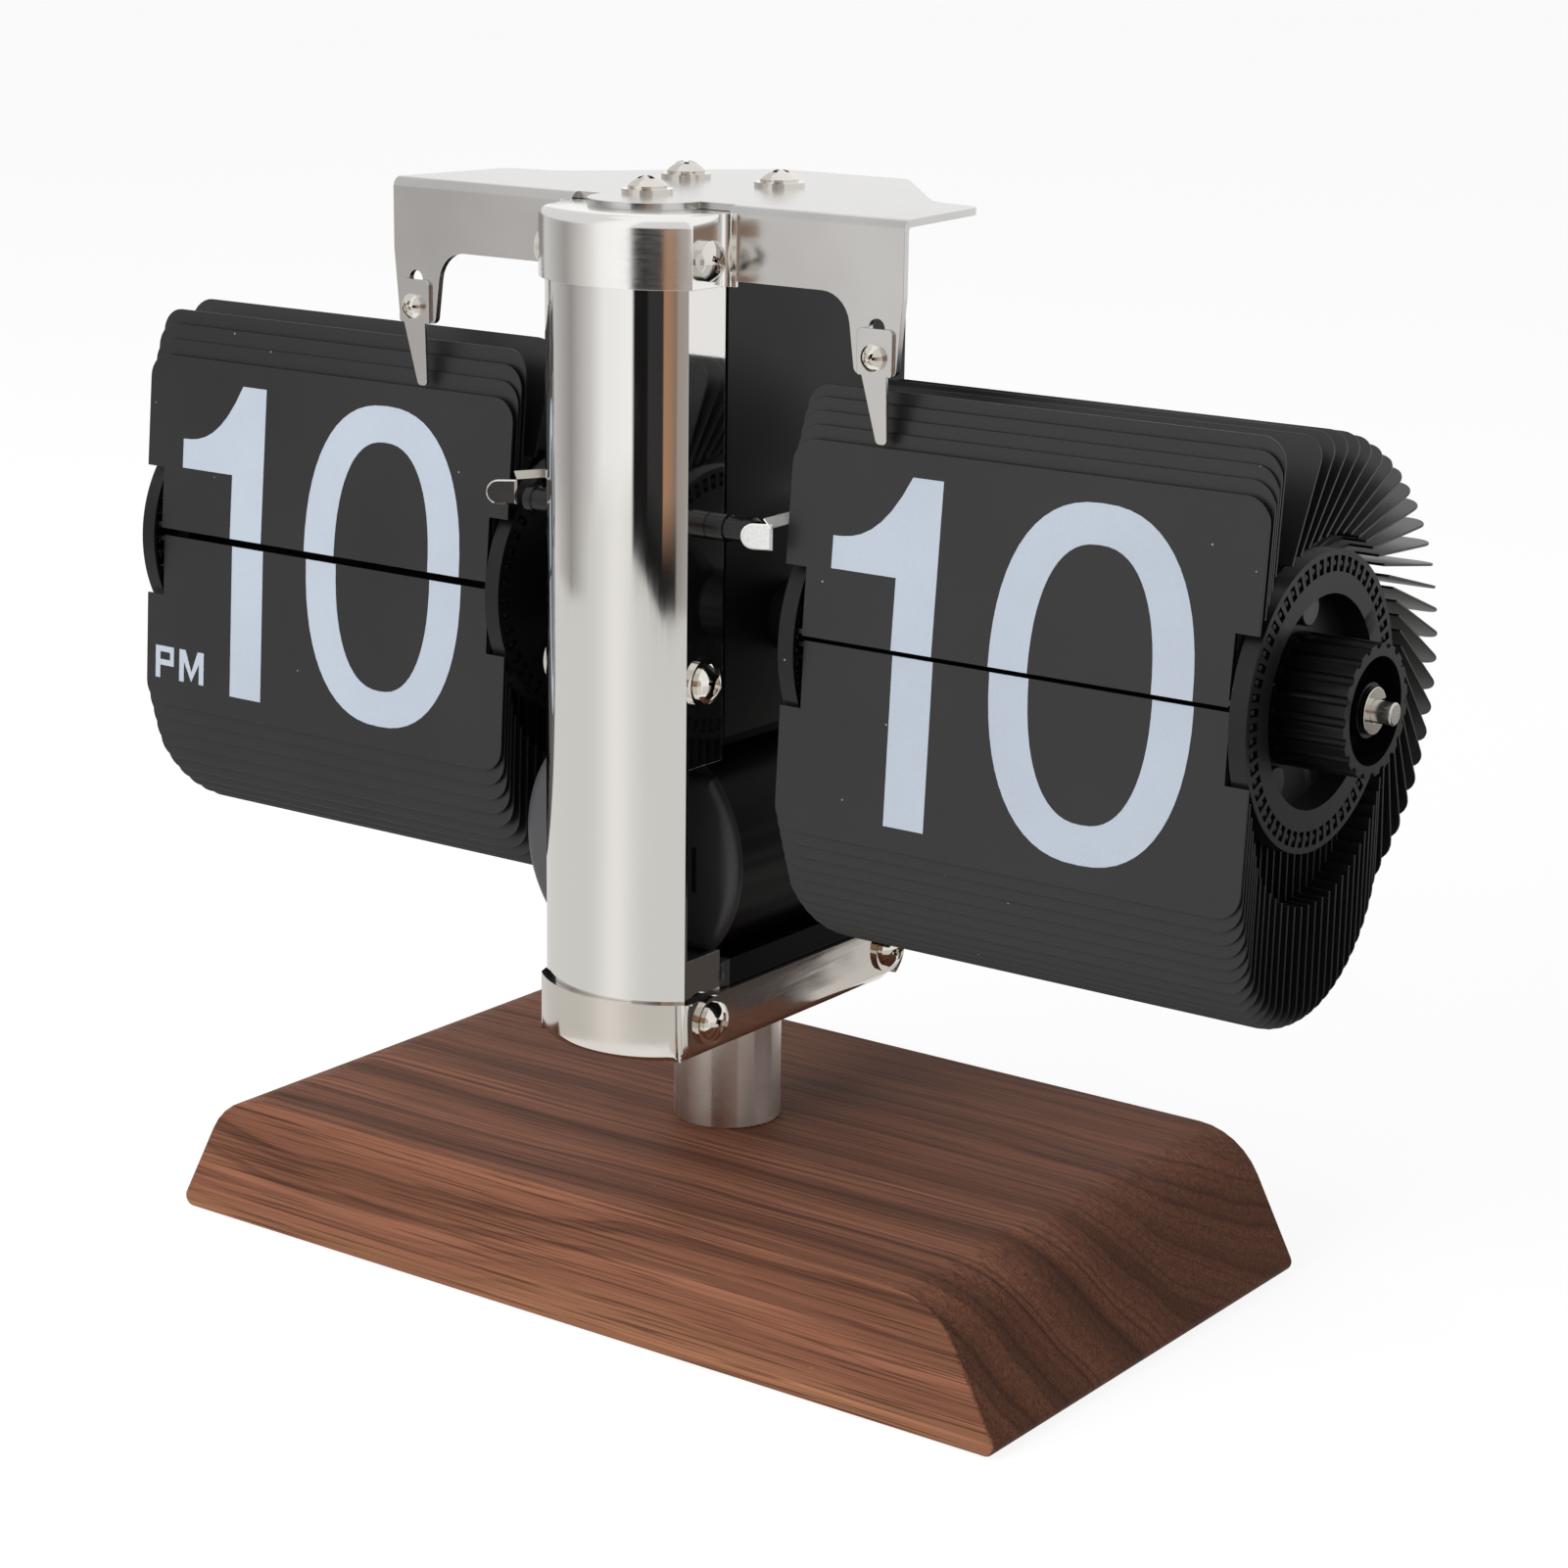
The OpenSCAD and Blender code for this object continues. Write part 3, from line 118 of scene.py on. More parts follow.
# Planes and places of the screws
COLUMN_HALF_W = 12.4 * MM
BRACKET_HALF_W = 13.25 * MM
COVER_X = -12.2 * MM
PLATE_Z = 156.3 * MM
FLANGE_Y = -20.3 * MM
FINGER_T = 0.5 * MM
SIDE_SCREW_Y = (-22.4 * MM, 21.2 * MM)
SIDE_SCREW_Z = 43.1 * MM
COLUMN_SCREW = (COLUMN_HALF_W, -23.6 * MM, 91.7 * MM)
CAP_SCREW = (BRACKET_HALF_W, -24.7 * MM, 149.3 * MM)
PLATE_SCREWS = ((-5.2 * MM, -14 * MM), (-15.5 * MM, 8 * MM), (2.2 * MM, 6.5 * MM))
FINGER_SCREW_X = (-42.1 * MM, 37.7 * MM)
FINGER_SCREW_Z = 138.3 * MM
COVER_SCREW_Y = (-14.8 * MM, 20.4 * MM)
COVER_SCREW_Z = (86.6 * MM, 148.5 * MM)

# Head height, washer thickness and shank radius of the large and the small screws
LARGE_SCREW = (1.75 * MM, 0.6 * MM, 1.45 * MM)
SMALL_SCREW = (1.2 * MM, 0.3 * MM, 0.95 * MM)

# Camera: place, turn, pitch and roll in degrees, and lens shift
CAMERA_AT = (0.303453, -0.40573, 0.203617)
CAMERA_ANGLES = (35.96, 14.81, 0.8)
CAMERA_SHIFT = (0.0002, 0.0042)

# Lamps: place, aim and size
LAMPS = {
    "key": ((-0.3, -1.1, 0.46), (0.0, 0.0, 0.07), 0.85),
    "fill": ((-0.95, -0.3, 0.4), (0.0, 0.0, 0.08), 0.7),
    "top": ((-0.2, -0.4, 1.0), (0.0, -0.02, 0.08), 0.8),
}

# Card round the front that polished surfaces mirror. Each section has its angle from straight
# ahead, its distance, its tone at the foot (none where the paper runs up) and its tone above
BLACK = (0.01, 0.01, 0.01)
GREY = (0.34, 0.32, 0.31)
CARD = (
    (-128, 0.53, None, (0.8, 0.79, 0.78)),
    (-92, 0.53, None, (0.58, 0.57, 0.56)),
    (-64, 0.5, GREY, GREY),
    (-40, 0.5, None, (0.68, 0.66, 0.65)),
    (-25, 0.55, None, (1.0, 0.99, 0.98)),
    (2, 0.57, None, (1.06, 1.06, 1.05)),
    (4.5, 0.57, BLACK, BLACK),
    (16, 0.54, BLACK, BLACK),
    (17.5, 0.53, BLACK, (0.04, 0.038, 0.038)),
    (30, 0.49, BLACK, (0.036, 0.034, 0.034)),
    (31, 0.49, BLACK, (0.44, 0.25, 0.15)),
    (37.5, 0.49, BLACK, (0.38, 0.22, 0.135)),
    (41.5, 0.49, BLACK, (0.26, 0.19, 0.15)),
    (43, 0.49, (0.3, 0.27, 0.25), (0.37, 0.33, 0.3)),
    (60, 0.5, None, (0.5, 0.47, 0.45)),
)
CARD_Y = -0.015
CARD_STEP = 4
CARD_LIGHT = 0.75

# Paper ring at the card's foot, and the dark cloth on it behind the right end
PAPER_R = 0.1
PAPER_Z = 0.0004
CLOTH_START = 100
CLOTH_R = 0.56
CLOTH_TONE = (0.07, 0.058, 0.054)


def measure(label, about, millimetres):
    """Length property of a detail."""
    return bpy.props.FloatProperty(
        name=label, description=about, default=millimetres * MM, min=0, unit="LENGTH"
    )


def tone(label, about, value):
    """Colour property of a finish."""
    return bpy.props.FloatVectorProperty(
        name=label, description=about, default=value, size=3, min=0, max=1, subtype="COLOR"
    )


def power(label, about, watts):
    """Power property of a lamp."""
    return bpy.props.FloatProperty(
        name=label, description=about, default=watts, min=0, unit="POWER"
    )


class FlipClockSizes(bpy.types.PropertyGroup):
    """Sizes of the details that dress the clock"""

    wood_round: measure("Wood edge", "Rounding of the base's edges", 1.0)
    metal_round: measure("Sheet edge", "Rounding of the steel sheet's edges", 0.2)
    cap_round: measure("Cap shoulder", "Rounding of the drawn cap's upper edge", 1.7)
    bracket_round: measure("Bracket edge", "Rounding of the pressed bracket's lower edge", 1.4)
    plastic_round: measure("Moulded edge", "Rounding of the moulded plastic edges", 0.35)
    leaf_width: measure("Leaf width", "Width of a leaf along the axle", 72)
    leaf_length: measure("Leaf length", "Length of a leaf from its pivot to its free edge", 25.8)
    leaf_thickness: measure("Leaf thickness", "Thickness of a leaf", 0.35)
    leaf_corner: measure("Leaf corner", "Radius of a leaf's free corners", 3.5)
    leaf_sway: bpy.props.FloatProperty(
        name="Leaf sway", description="Largest chance lean of a leaf behind the shown ones",
        default=math.radians(0.14), min=0, subtype="ANGLE",
    )
    screw_head: measure("Screw head", "Radius of the large screws' heads", 2.75)
    screw_washer: measure("Screw washer", "Radius of the washers under the large screws", 3.6)
    small_head: measure("Small screw head", "Radius of the small screws' heads", 1.75)
    seed: bpy.props.IntProperty(
        name="Seed", description="Seed of every chance turn and lean", default=7, min=0
    )


class FlipClockColours(bpy.types.PropertyGroup):
    """Colours of the clock's finishes"""

    walnut: tone("Walnut", "Middle tone of the base", (0.281, 0.117, 0.069))
    heartwood: tone("Heartwood", "Dark streaks of the base", (0.068, 0.03, 0.02))
    sapwood: tone("Sapwood", "Light streaks along the base's lower front", (0.43, 0.2, 0.105))
    steel: tone("Polished steel", "Column and cap", (0.8, 0.79, 0.77))
    bracket: tone("Bracket steel", "Bottom bracket", (0.69, 0.652, 0.606))
    satin: tone("Satin steel", "Top plate and fingers", (0.6, 0.59, 0.575))
    nickel: tone("Nickel", "Screws", (0.74, 0.71, 0.66))
    leaf: tone("Leaf", "Plastic of the leaves", (0.0132, 0.0132, 0.0141))
    numeral: tone("Numeral", "Print of the numerals", (0.505, 0.563, 0.643))
    black: tone("Black plastic", "Movement, drums and battery tube", (0.006, 0.006, 0.0066))
    felt: tone("Felt", "Pad under the base", (0.02, 0.022, 0.021))


class FlipClockStage(bpy.types.PropertyGroup):
    """Camera and light of the picture"""

    lens: bpy.props.FloatProperty(
        name="Lens", description="Focal length of the camera in millimetres",
        default=82.8, min=1, subtype="DISTANCE_CAMERA",
    )
    key: power("Key light", "Power of the front light", 13)
    fill: power("Fill light", "Power of the left light", 0.9)
    top: power("Top light", "Power of the light overhead", 1.6)
    ambient: bpy.props.FloatProperty(
        name="Ambient", description="Strength of the light from all round", default=0.27, min=0
    )
    floor: tone("Floor", "Colour of the floor", (0.86, 0.86, 0.86))


# Node trees and materials


class Graph:
    """A node tree being made, from empty."""

    def __init__(self, tree):
        self.nodes, self.links = tree.nodes, tree.links
        self.nodes.clear()

    def feed(self, socket, value):
        """Sets a socket, or links it to an output or to a list of them."""
        for one in value if isinstance(value, list) else [value]:
            if isinstance(one, bpy.types.NodeSocket):
                self.links.new(one, socket)
            elif socket.type == "RGBA" and len(one) == 3:
                socket.default_value = (*one, 1)
            else:
                socket.default_value = one

    def add(self, kind, inputs, output=0, **settings):
        """Adds a node and returns one of its outputs."""
        node = self.nodes.new(kind)
        for name, value in settings.items():
            setattr(node, name, value)
        for socket, value in inputs.items():
            self.feed(node.inputs[socket], value)
        return node.outputs[output]

    def end(self, kind, shader):
        """Closes a material or a world with what it shows."""
        self.feed(self.nodes.new(kind).inputs["Surface"], shader)

    def math(self, operation, a, b=0.0):
        return self.add("ShaderNodeMath", {0: a, 1: b}, operation=operation)

    def times(self, a, b):
        return self.math("MULTIPLY", a, b)

    def plus(self, a, b):
        return self.math("ADD", a, b)

    def minus(self, a, b):
        return self.math("SUBTRACT", a, b)

    def split(self, vector):
        """The three parts of a vector."""
        node = self.nodes.new("ShaderNodeSeparateXYZ")
        self.feed(node.inputs[0], vector)
        return tuple(node.outputs)

    def seen(self):
        """One for rays from the camera, a mirror or glass, nought for the others."""
        rays = self.nodes.new("ShaderNodeLightPath").outputs
        direct = self.math("MAXIMUM", rays["Is Camera Ray"], rays["Is Glossy Ray"])
        return self.math("MAXIMUM", direct, rays["Is Transmission Ray"])


class Finish(Graph):
    """A material being made: one shader, fed from the piece's own place in metres."""

    def __init__(self, name, **values):
        self.material = bpy.data.materials.new(name)
        self.material.use_nodes = True
        super().__init__(self.material.node_tree)
        self.shader = self.nodes.new("ShaderNodeBsdfPrincipled")
        self.end("ShaderNodeOutputMaterial", self.shader.outputs["BSDF"])
        self.place = self.nodes.new("ShaderNodeTexCoord").outputs["Object"]
        self.use(**values)

    def noise(self, scale, detail=2.0, roughness=0.5):
        """Cloudy pattern: scale is in patches per metre along each axis."""
        spot = self.add("ShaderNodeMapping", {"Vector": self.place, "Scale": scale})
        return self.add(
            "ShaderNodeTexNoise",
            {"Vector": spot, "Scale": 1.0, "Detail": detail, "Roughness": roughness},
        )

    def bands(self, along, detail=2.0, roughness=0.5):
        """Uneven stripes across a length."""
        return self.add(
            "ShaderNodeTexNoise",
            {"W": along, "Scale": 1.0, "Detail": detail, "Roughness": roughness},
            noise_dimensions="1D",
        )

    def specks(self, scale, size, share):
        """Scattered dots: cells per metre, dot radius in cells and the share of cells with one."""
        cells = self.nodes.new("ShaderNodeTexVoronoi")
        self.feed(cells.inputs["Vector"], self.place)
        self.feed(cells.inputs["Scale"], scale)
        chance = self.add("ShaderNodeSeparateColor", {0: cells.outputs["Color"]})
        chosen = self.math("GREATER_THAN", chance, 1 - share)
        dot = self.math("LESS_THAN", cells.outputs["Distance"], size)
        return self.times(dot, chosen)

    def ramp(self, value, *stops):
        node = self.nodes.new("ShaderNodeValToRGB")
        self.feed(node.inputs[0], value)
        points = node.color_ramp.elements
        while len(points) < len(stops):
            points.new(1.0)
        for point, (at, colour) in zip(points, stops):
            point.position = at
            grey = not hasattr(colour, "__len__")
            point.color = (colour, colour, colour, 1) if grey else (*colour, 1)
        return node.outputs[0]

    def level(self, value, low, high, start=0.0, end=1.0):
        """The value's span from start to end, stretched to run from low to high."""
        return self.add(
            "ShaderNodeMapRange",
            {"Value": value, "From Min": start, "From Max": end, "To Min": low, "To Max": high},
        )

    def mix(self, share, a, b, mode="MIX"):
        return self.add(
            "ShaderNodeMix", {0: share, 6: a, 7: b}, output=2, data_type="RGBA", blend_type=mode
        )

    def mottled(self, base, pattern, low, high):
        """The base colour made darker and lighter by a pattern, between two stops."""
        return self.mix(1.0, base, self.ramp(pattern, low, high), "MULTIPLY")

    def dusty(self, base, dots, strength, colour=(0.6, 0.6, 0.6)):
        """The base colour with specks of dust on it."""
        return self.mix(self.times(self.specks(*dots), strength), base, colour)

    def bump(self, height, distance, strength):
        bent = {"Height": height, "Distance": distance, "Strength": strength}
        self.feed(self.shader.inputs["Normal"], self.add("ShaderNodeBump", bent))

    def use(self, **sockets):
        for socket, value in sockets.items():
            self.feed(self.shader.inputs[socket.replace("_", " ")], value)
        return self.material


def shade(colour, factor):
    """A colour made darker or lighter."""
    return tuple(min(1.0, c * factor) for c in colour)


def walnut_finish(c):
    f = Finish("walnut", Specular_IOR_Level=0.1)
    # Growth rings lie round a heart behind and above the block, so they run along its length
    drift = f.noise((7, 20, 20), 3)
    fine_drift = f.noise((30, 120, 120), 2)
    offset = f.add("ShaderNodeVectorMath", {0: f.place, 1: (0, 0.058, 0.066)}, operation="SUBTRACT")
    flat = f.add("ShaderNodeVectorMath", {0: offset, 1: (0.03, 1, 1)}, operation="MULTIPLY")
    radius = f.add("ShaderNodeVectorMath", {0: flat}, output=1, operation="LENGTH")
    ring = f.plus(radius, f.times(drift, 0.013))
    ring = f.plus(ring, f.times(fine_drift, 0.0012))
    broad = f.bands(f.times(ring, 150.0), 2)
    narrow = f.bands(f.times(ring, 760.0), 3, 0.6)
    fibre = f.noise((11, 1700, 1700), 3, 0.65)
    pores = f.noise((45, 3600, 3600), 1, 0.4)
    light = shade(c.walnut, 1.25)
    colour = f.ramp(broad, (0.3, shade(c.walnut, 0.66)), (0.5, c.walnut), (0.72, light))
    dark = f.level(narrow, 0.0, 0.7, 0.5, 0.74)
    colour = f.mix(dark, colour, c.heartwood)
    outer = f.plus(ring, f.times(narrow, 0.003))
    sap = f.level(outer, 0.0, 0.55, 0.1248, 0.1268)
    colour = f.mix(sap, colour, c.sapwood)
    colour = f.mottled(colour, fibre, (0.3, 0.62), (0.7, 1.26))
    pore = f.level(pores, 0.0, 0.6, 0.56, 0.66)
    colour = f.mix(pore, colour, shade(c.heartwood, 0.5))
    colour = f.dusty(colour, (900, 0.1, 0.02), 0.4, (0.6, 0.5, 0.44))
    f.bump(f.minus(f.times(fibre, 0.35), pore), 0.00008, 0.8)
    return f.use(Base_Color=colour, Roughness=f.level(fibre, 0.53, 0.67))


def steel_finish(name, colour, roughness, grain, depth, wear):
    """Steel with fine lines: grain is in lines per metre along each axis."""
    f = Finish(name, Metallic=1.0)
    lines = f.noise(grain, 2, 0.6)
    cloud = f.noise((60, 60, 60), 2)
    dark, light = shade(colour, 1 - wear * 0.4), shade(colour, 1 + wear * 0.3)
    base = f.mix(f.level(cloud, 0.0, 1.0, 0.35, 0.65), dark, light)
    f.bump(lines, depth, 0.5)
    uneven = f.plus(f.times(lines, 0.6), f.times(cloud, 0.4))
    return f.use(Base_Color=base, Roughness=f.level(uneven, *roughness, 0.3, 0.7))


def mirror_finish(c):
    f = Finish("polished_steel", Metallic=1.0)
    wave = f.noise((26, 26, 9), 1)
    haze = f.noise((140, 140, 60), 3, 0.6)
    rub = f.noise((900, 900, 30), 2, 0.6)
    f.bump(wave, 0.00005, 0.35)
    return f.use(
        Base_Color=f.mix(f.level(haze, 0.0, 1.0, 0.3, 0.7), shade(c.steel, 0.985), c.steel),
        Roughness=f.level(f.times(haze, rub), 0.035, 0.085, 0.12, 0.4),
    )


def plastic_finish(name, colour, roughness, grain, depth, dust, specular):
    """Moulded plastic with a fine grain, faint wear and a little dust."""
    f = Finish(name, Specular_IOR_Level=specular)
    skin = f.noise((grain, grain, grain), 2, 0.6)
    cloud = f.noise((45, 45, 45), 3)
    base = f.mix(f.level(cloud, 0.0, 1.0, 0.3, 0.7), shade(colour, 0.86), shade(colour, 1.12))
    base = f.mottled(base, skin, (0.25, 0.88), (0.75, 1.1))
    base = f.dusty(base, (620, 0.09, dust), 0.45)
    f.bump(skin, depth, 0.6)
    return f.use(Base_Color=base, Roughness=f.level(cloud, *roughness, 0.3, 0.7))


def post_finish():
    """Turned steel: its fine rings spread every reflection up and down."""
    f = Finish("post_steel", Metallic=1.0, Anisotropic=1.0)
    rings = f.noise((500, 500, 7000), 2, 0.6)
    cloud = f.noise((60, 60, 200), 2)
    colour = f.mix(rings, (0.52, 0.47, 0.43), (0.68, 0.63, 0.59))
    f.bump(rings, 0.00001, 0.4)
    upright = f.add("ShaderNodeCombineXYZ", {0: 0.0, 1: 0.0, 2: 1.0})
    rough = f.level(cloud, 0.22, 0.29, 0.3, 0.7)
    return f.use(Base_Color=colour, Roughness=rough, Tangent=upright)


def housing_finish(c):
    """Battery housing: a fine-grained front plate painted lighter as painted light, before a tube
    of the same plastic painted darker as painted shade.
    """
    f = Finish("housing_plastic")
    skin = f.noise((3200, 3200, 3200), 2, 0.6)
    across, depth, height = f.split(f.place)
    # Painted light and shade: the front plate takes a lighter grey as if lit, the tube behind it a
    # darker black as if in shade
    shaded_tube = f.level(depth, 0.0, 1.0, -0.0172, -0.0168)
    base = f.mix(shaded_tube, (0.075, 0.075, 0.08), shade(c.black, 0.3))
    # Painted shade: a narrow slot in the front plate, drawn as a dark mark on the flat face
    beside = f.math("ABSOLUTE", f.minus(across, 0.0075))
    above = f.math("ABSOLUTE", f.minus(height, 0.0632))
    narrow, short = f.math("LESS_THAN", beside, 0.0004), f.math("LESS_THAN", above, 0.0033)
    slot = f.times(narrow, short)
    base = f.mix(slot, base, shade(c.black, 0.3))
    base = f.mottled(base, skin, (0.25, 0.88), (0.75, 1.1))
    base = f.dusty(base, (620, 0.08, 0.02), 0.4)
    f.bump(skin, 0.000005, 0.5)
    uneven = f.plus(f.times(skin, 0.06), f.times(shaded_tube, 0.04))
    return f.use(
        Base_Color=base,
        Roughness=f.level(uneven, 0.4, 0.46, 0.0, 0.06),
        Specular_IOR_Level=f.level(shaded_tube, 0.4, 0.06),
    )


def print_finish(c):
    f = Finish("print", Specular_IOR_Level=0.3)
    grain = f.noise((3800, 3800, 3800), 2, 0.6)
    cloud = f.noise((70, 70, 70), 2)
    dark, light = shade(c.numeral, 0.97), shade(c.numeral, 1.02)
    base = f.mix(f.level(cloud, 0.0, 1.0, 0.35, 0.65), dark, light)
    base = f.mottled(base, grain, (0.25, 0.94), (0.75, 1.03))
    f.bump(grain, 0.000006, 0.5)
    return f.use(Base_Color=base, Roughness=f.level(grain, 0.55, 0.68))


def felt_finish(c):
    f = Finish("felt", Specular_IOR_Level=0.2, Sheen_Weight=0.35, Sheen_Roughness=0.6)
    hair = f.noise((1800, 1800, 1800), 4, 0.7)
    tuft = f.noise((500, 500, 500), 3)
    base = f.mix(f.level(hair, 0.0, 1.0, 0.3, 0.7), shade(c.felt, 0.55), shade(c.felt, 1.7))
    f.bump(f.plus(hair, tuft), 0.00025, 0.8)
    return f.use(Base_Color=base, Roughness=f.level(tuft, 0.85, 1.0))


def board_finish():
    f = Finish("board", Specular_IOR_Level=0.5)
    weave = f.noise((700, 2400, 2400), 2)
    tracks = f.noise((10, 260, 90), 0)
    track = f.level(tracks, 0.0, 1.0, 0.52, 0.56)
    base = f.mix(track, (0.012, 0.07, 0.03), (0.03, 0.13, 0.055))
    base = f.mottled(base, weave, (0.3, 0.85), (0.7, 1.1))
    f.bump(tracks, 0.00003, 0.6)
    return f.use(Base_Color=base, Roughness=f.level(weave, 0.3, 0.45))


def cell_finish():
    f = Finish("cell")
    scuff = f.noise((500, 40, 500), 3)
    band = f.level(f.split(f.place)[1], 0.0, 1.0, 0.0278, 0.0282)
    base = f.mix(band, (0.03, 0.03, 0.033), (0.42, 0.22, 0.1))
    base = f.mottled(base, scuff, (0.3, 0.85), (0.7, 1.1))
    return f.use(
        Base_Color=base, Roughness=f.level(scuff, 0.25, 0.4), Metallic=f.level(band, 0.1, 0.6)
    )


def make_finishes(c):
    """Every finish of the clock, by the name of its slot in the record or of its use."""
    made = {
        "walnut": walnut_finish(c),
        "felt": felt_finish(c),
        "polished_steel": mirror_finish(c),
        "post_steel": post_finish(),
        "print": print_finish(c),
        "housing_plastic": housing_finish(c),
        "board": board_finish(),
        "cell": cell_finish(),
    }
    # Colour, roughness, lines per metre along each axis, their depth and the wear
    steels = {
        "bracket_steel": (c.bracket, (0.06, 0.13), (500, 500, 2600), 0.000003, 0.12),
        "satin_steel": (c.satin, (0.15, 0.23), (160, 5200, 5200), 0.000004, 0.12),
        "cap_steel": (shade(c.steel, 1.1), (0.12, 0.22), (420, 420, 3000), 0.000004, 0.12),
        "nickel_screws": (c.nickel, (0.04, 0.09), (900, 900, 900), 0.000003, 0.3),
        "zinc": ((0.56, 0.55, 0.53), (0.3, 0.46), (800, 800, 800), 0.00001, 0.3),
        "axle_steel": ((0.62, 0.6, 0.57), (0.2, 0.32), (900, 4200, 4200), 0.000006, 0.2),
        "motor_can": ((0.5, 0.5, 0.49), (0.26, 0.4), (90, 2600, 2600), 0.000008, 0.2),
    }
    # Colour, roughness, grains per metre, their depth, the share of dust and the gloss
    plastics = {
        "leaf_plastic": (c.leaf, (0.35, 0.42), 4200, 0.000005, 0.035, 0.5),
        "black_plastic": (c.black, (0.4, 0.5), 2600, 0.00001, 0.006, 0.32),
        "drum_plastic": (shade(c.black, 1.2), (0.34, 0.44), 3600, 0.000006, 0.012, 0.3),
        "knob_plastic": (shade(c.black, 0.8), (0.3, 0.4), 3000, 0.000005, 0.01, 0.26),
        "smoky_plastic": ((0.05, 0.047, 0.046), (0.16, 0.26), 3000, 0.000003, 0.02, 0.4),
        "gloss_plastic": (shade(c.black, 0.6), (0.2, 0.32), 3000, 0.000004, 0.02, 0.45),
        "ivory_plastic": ((0.62, 0.58, 0.48), (0.36, 0.5), 2600, 0.00001, 0.0, 0.5),
        # Near-white plastic of the right guide tab: its brightness is partly a painted highlight
        "white_plastic": ((0.86, 0.86, 0.84), (0.3, 0.4), 3000, 0.000003, 0.0, 0.5),
    }
    made.update((name, steel_finish(name, *values)) for name, values in steels.items())
    made.update((name, plastic_finish(name, *values)) for name, values in plastics.items())
    return made


FINISHES = {}


def finish(name):
    """The finish of that name; all of them are made together at the first call."""
    if not FINISHES:
        FINISHES.update(make_finishes(bpy.context.scene.flip_clock_colours))
    return FINISHES[name]


# Pieces


def place_piece(name, mesh, material, body, nodes):
    """A finished piece at the origin, riding on a body and standing for its CAD nodes."""
    mesh.name = name
    mesh.materials.clear()
    mesh.materials.append(material)
    piece = bpy.data.objects.new(name, mesh)
    bpy.context.scene.collection.objects.link(piece)
    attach(piece, body)
    if nodes:
        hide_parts(*nodes)
    return piece


def smooth(mesh, angle):
    """Smooth shading with sharp edges where faces meet steeply."""
    mesh.shade_smooth()
    mesh.set_sharp_from_angle(angle=math.radians(angle))


def rounded_edges(piece, width, segments, angle):
    """Small live rounding on every steep edge."""
    bevel = piece.modifiers.new("Edge", "BEVEL")
    bevel.width = width
    bevel.segments = segments
    bevel.limit_method = "ANGLE"
    bevel.angle_limit = math.radians(angle)
    bevel.harden_normals = True
    return piece


def merged(node):
    """The merged mesh of a CAD node, with its flat faces joined, as an editable mesh."""
    shell = bmesh.new()
    shell.from_mesh(frame["nodes"][node].data)
    bmesh.ops.remove_doubles(shell, verts=shell.verts, dist=1e-6)
    flat = math.radians(0.4)
    bmesh.ops.dissolve_limit(shell, angle_limit=flat, verts=shell.verts, edges=shell.edges)
    return shell


def as_mesh(name, shell):
    mesh = bpy.data.meshes.new(name)
    shell.to_mesh(mesh)
    shell.free()
    return mesh


def round_over(shell, edges, width, segments):
    """Rounds chosen edges of an editable mesh for good."""
    if not edges:
        raise RuntimeError("a piece has no edge to round")
    bmesh.ops.bevel(
        shell, geom=edges, offset=width, segments=segments, profile=0.5, affect="EDGES"
    )


def loft(shell, rows, ring=False):
    """Faces between closed rows of points, with the ends capped or joined to a ring."""
    for row, after in zip(rows, rows[1:] + (rows[:1] if ring else [])):
        for i in range(len(row)):
            shell.faces.new((row[i - 1], row[i], after[i], after[i - 1]))
    if not ring:
        shell.faces.new(rows[0])
        shell.faces.new(list(reversed(rows[-1])))


def body_of(node):
    """The body that carries a CAD node."""
    return frame["nodes"][node]["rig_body"]


def settle(name, form, look, nodes, body="root", width=0, segments=3, angle=32):
    """A finished piece from a mesh, or from an editable one that this uses up."""
    mesh = as_mesh(name, form) if isinstance(form, bmesh.types.BMesh) else form
    smooth(mesh, angle)
    piece = place_piece(name, mesh, finish(look), body, nodes)
    return rounded_edges(piece, width, segments, angle) if width else piece


def refine(node, look, width, segments=3):
    """A copy of a CAD node with rounded edges and a finish of its own."""
    form, body = merged(node), body_of(node)
    settle(node + "_piece", form, look, [node], body, width, segments)


def dress(look, *nodes):
    """Gives CAD nodes that stay as they are a finish of their own."""
    for node in nodes:
        for held in frame["nodes"][node].material_slots:
            held.material = finish(look)


# Geometry Nodes


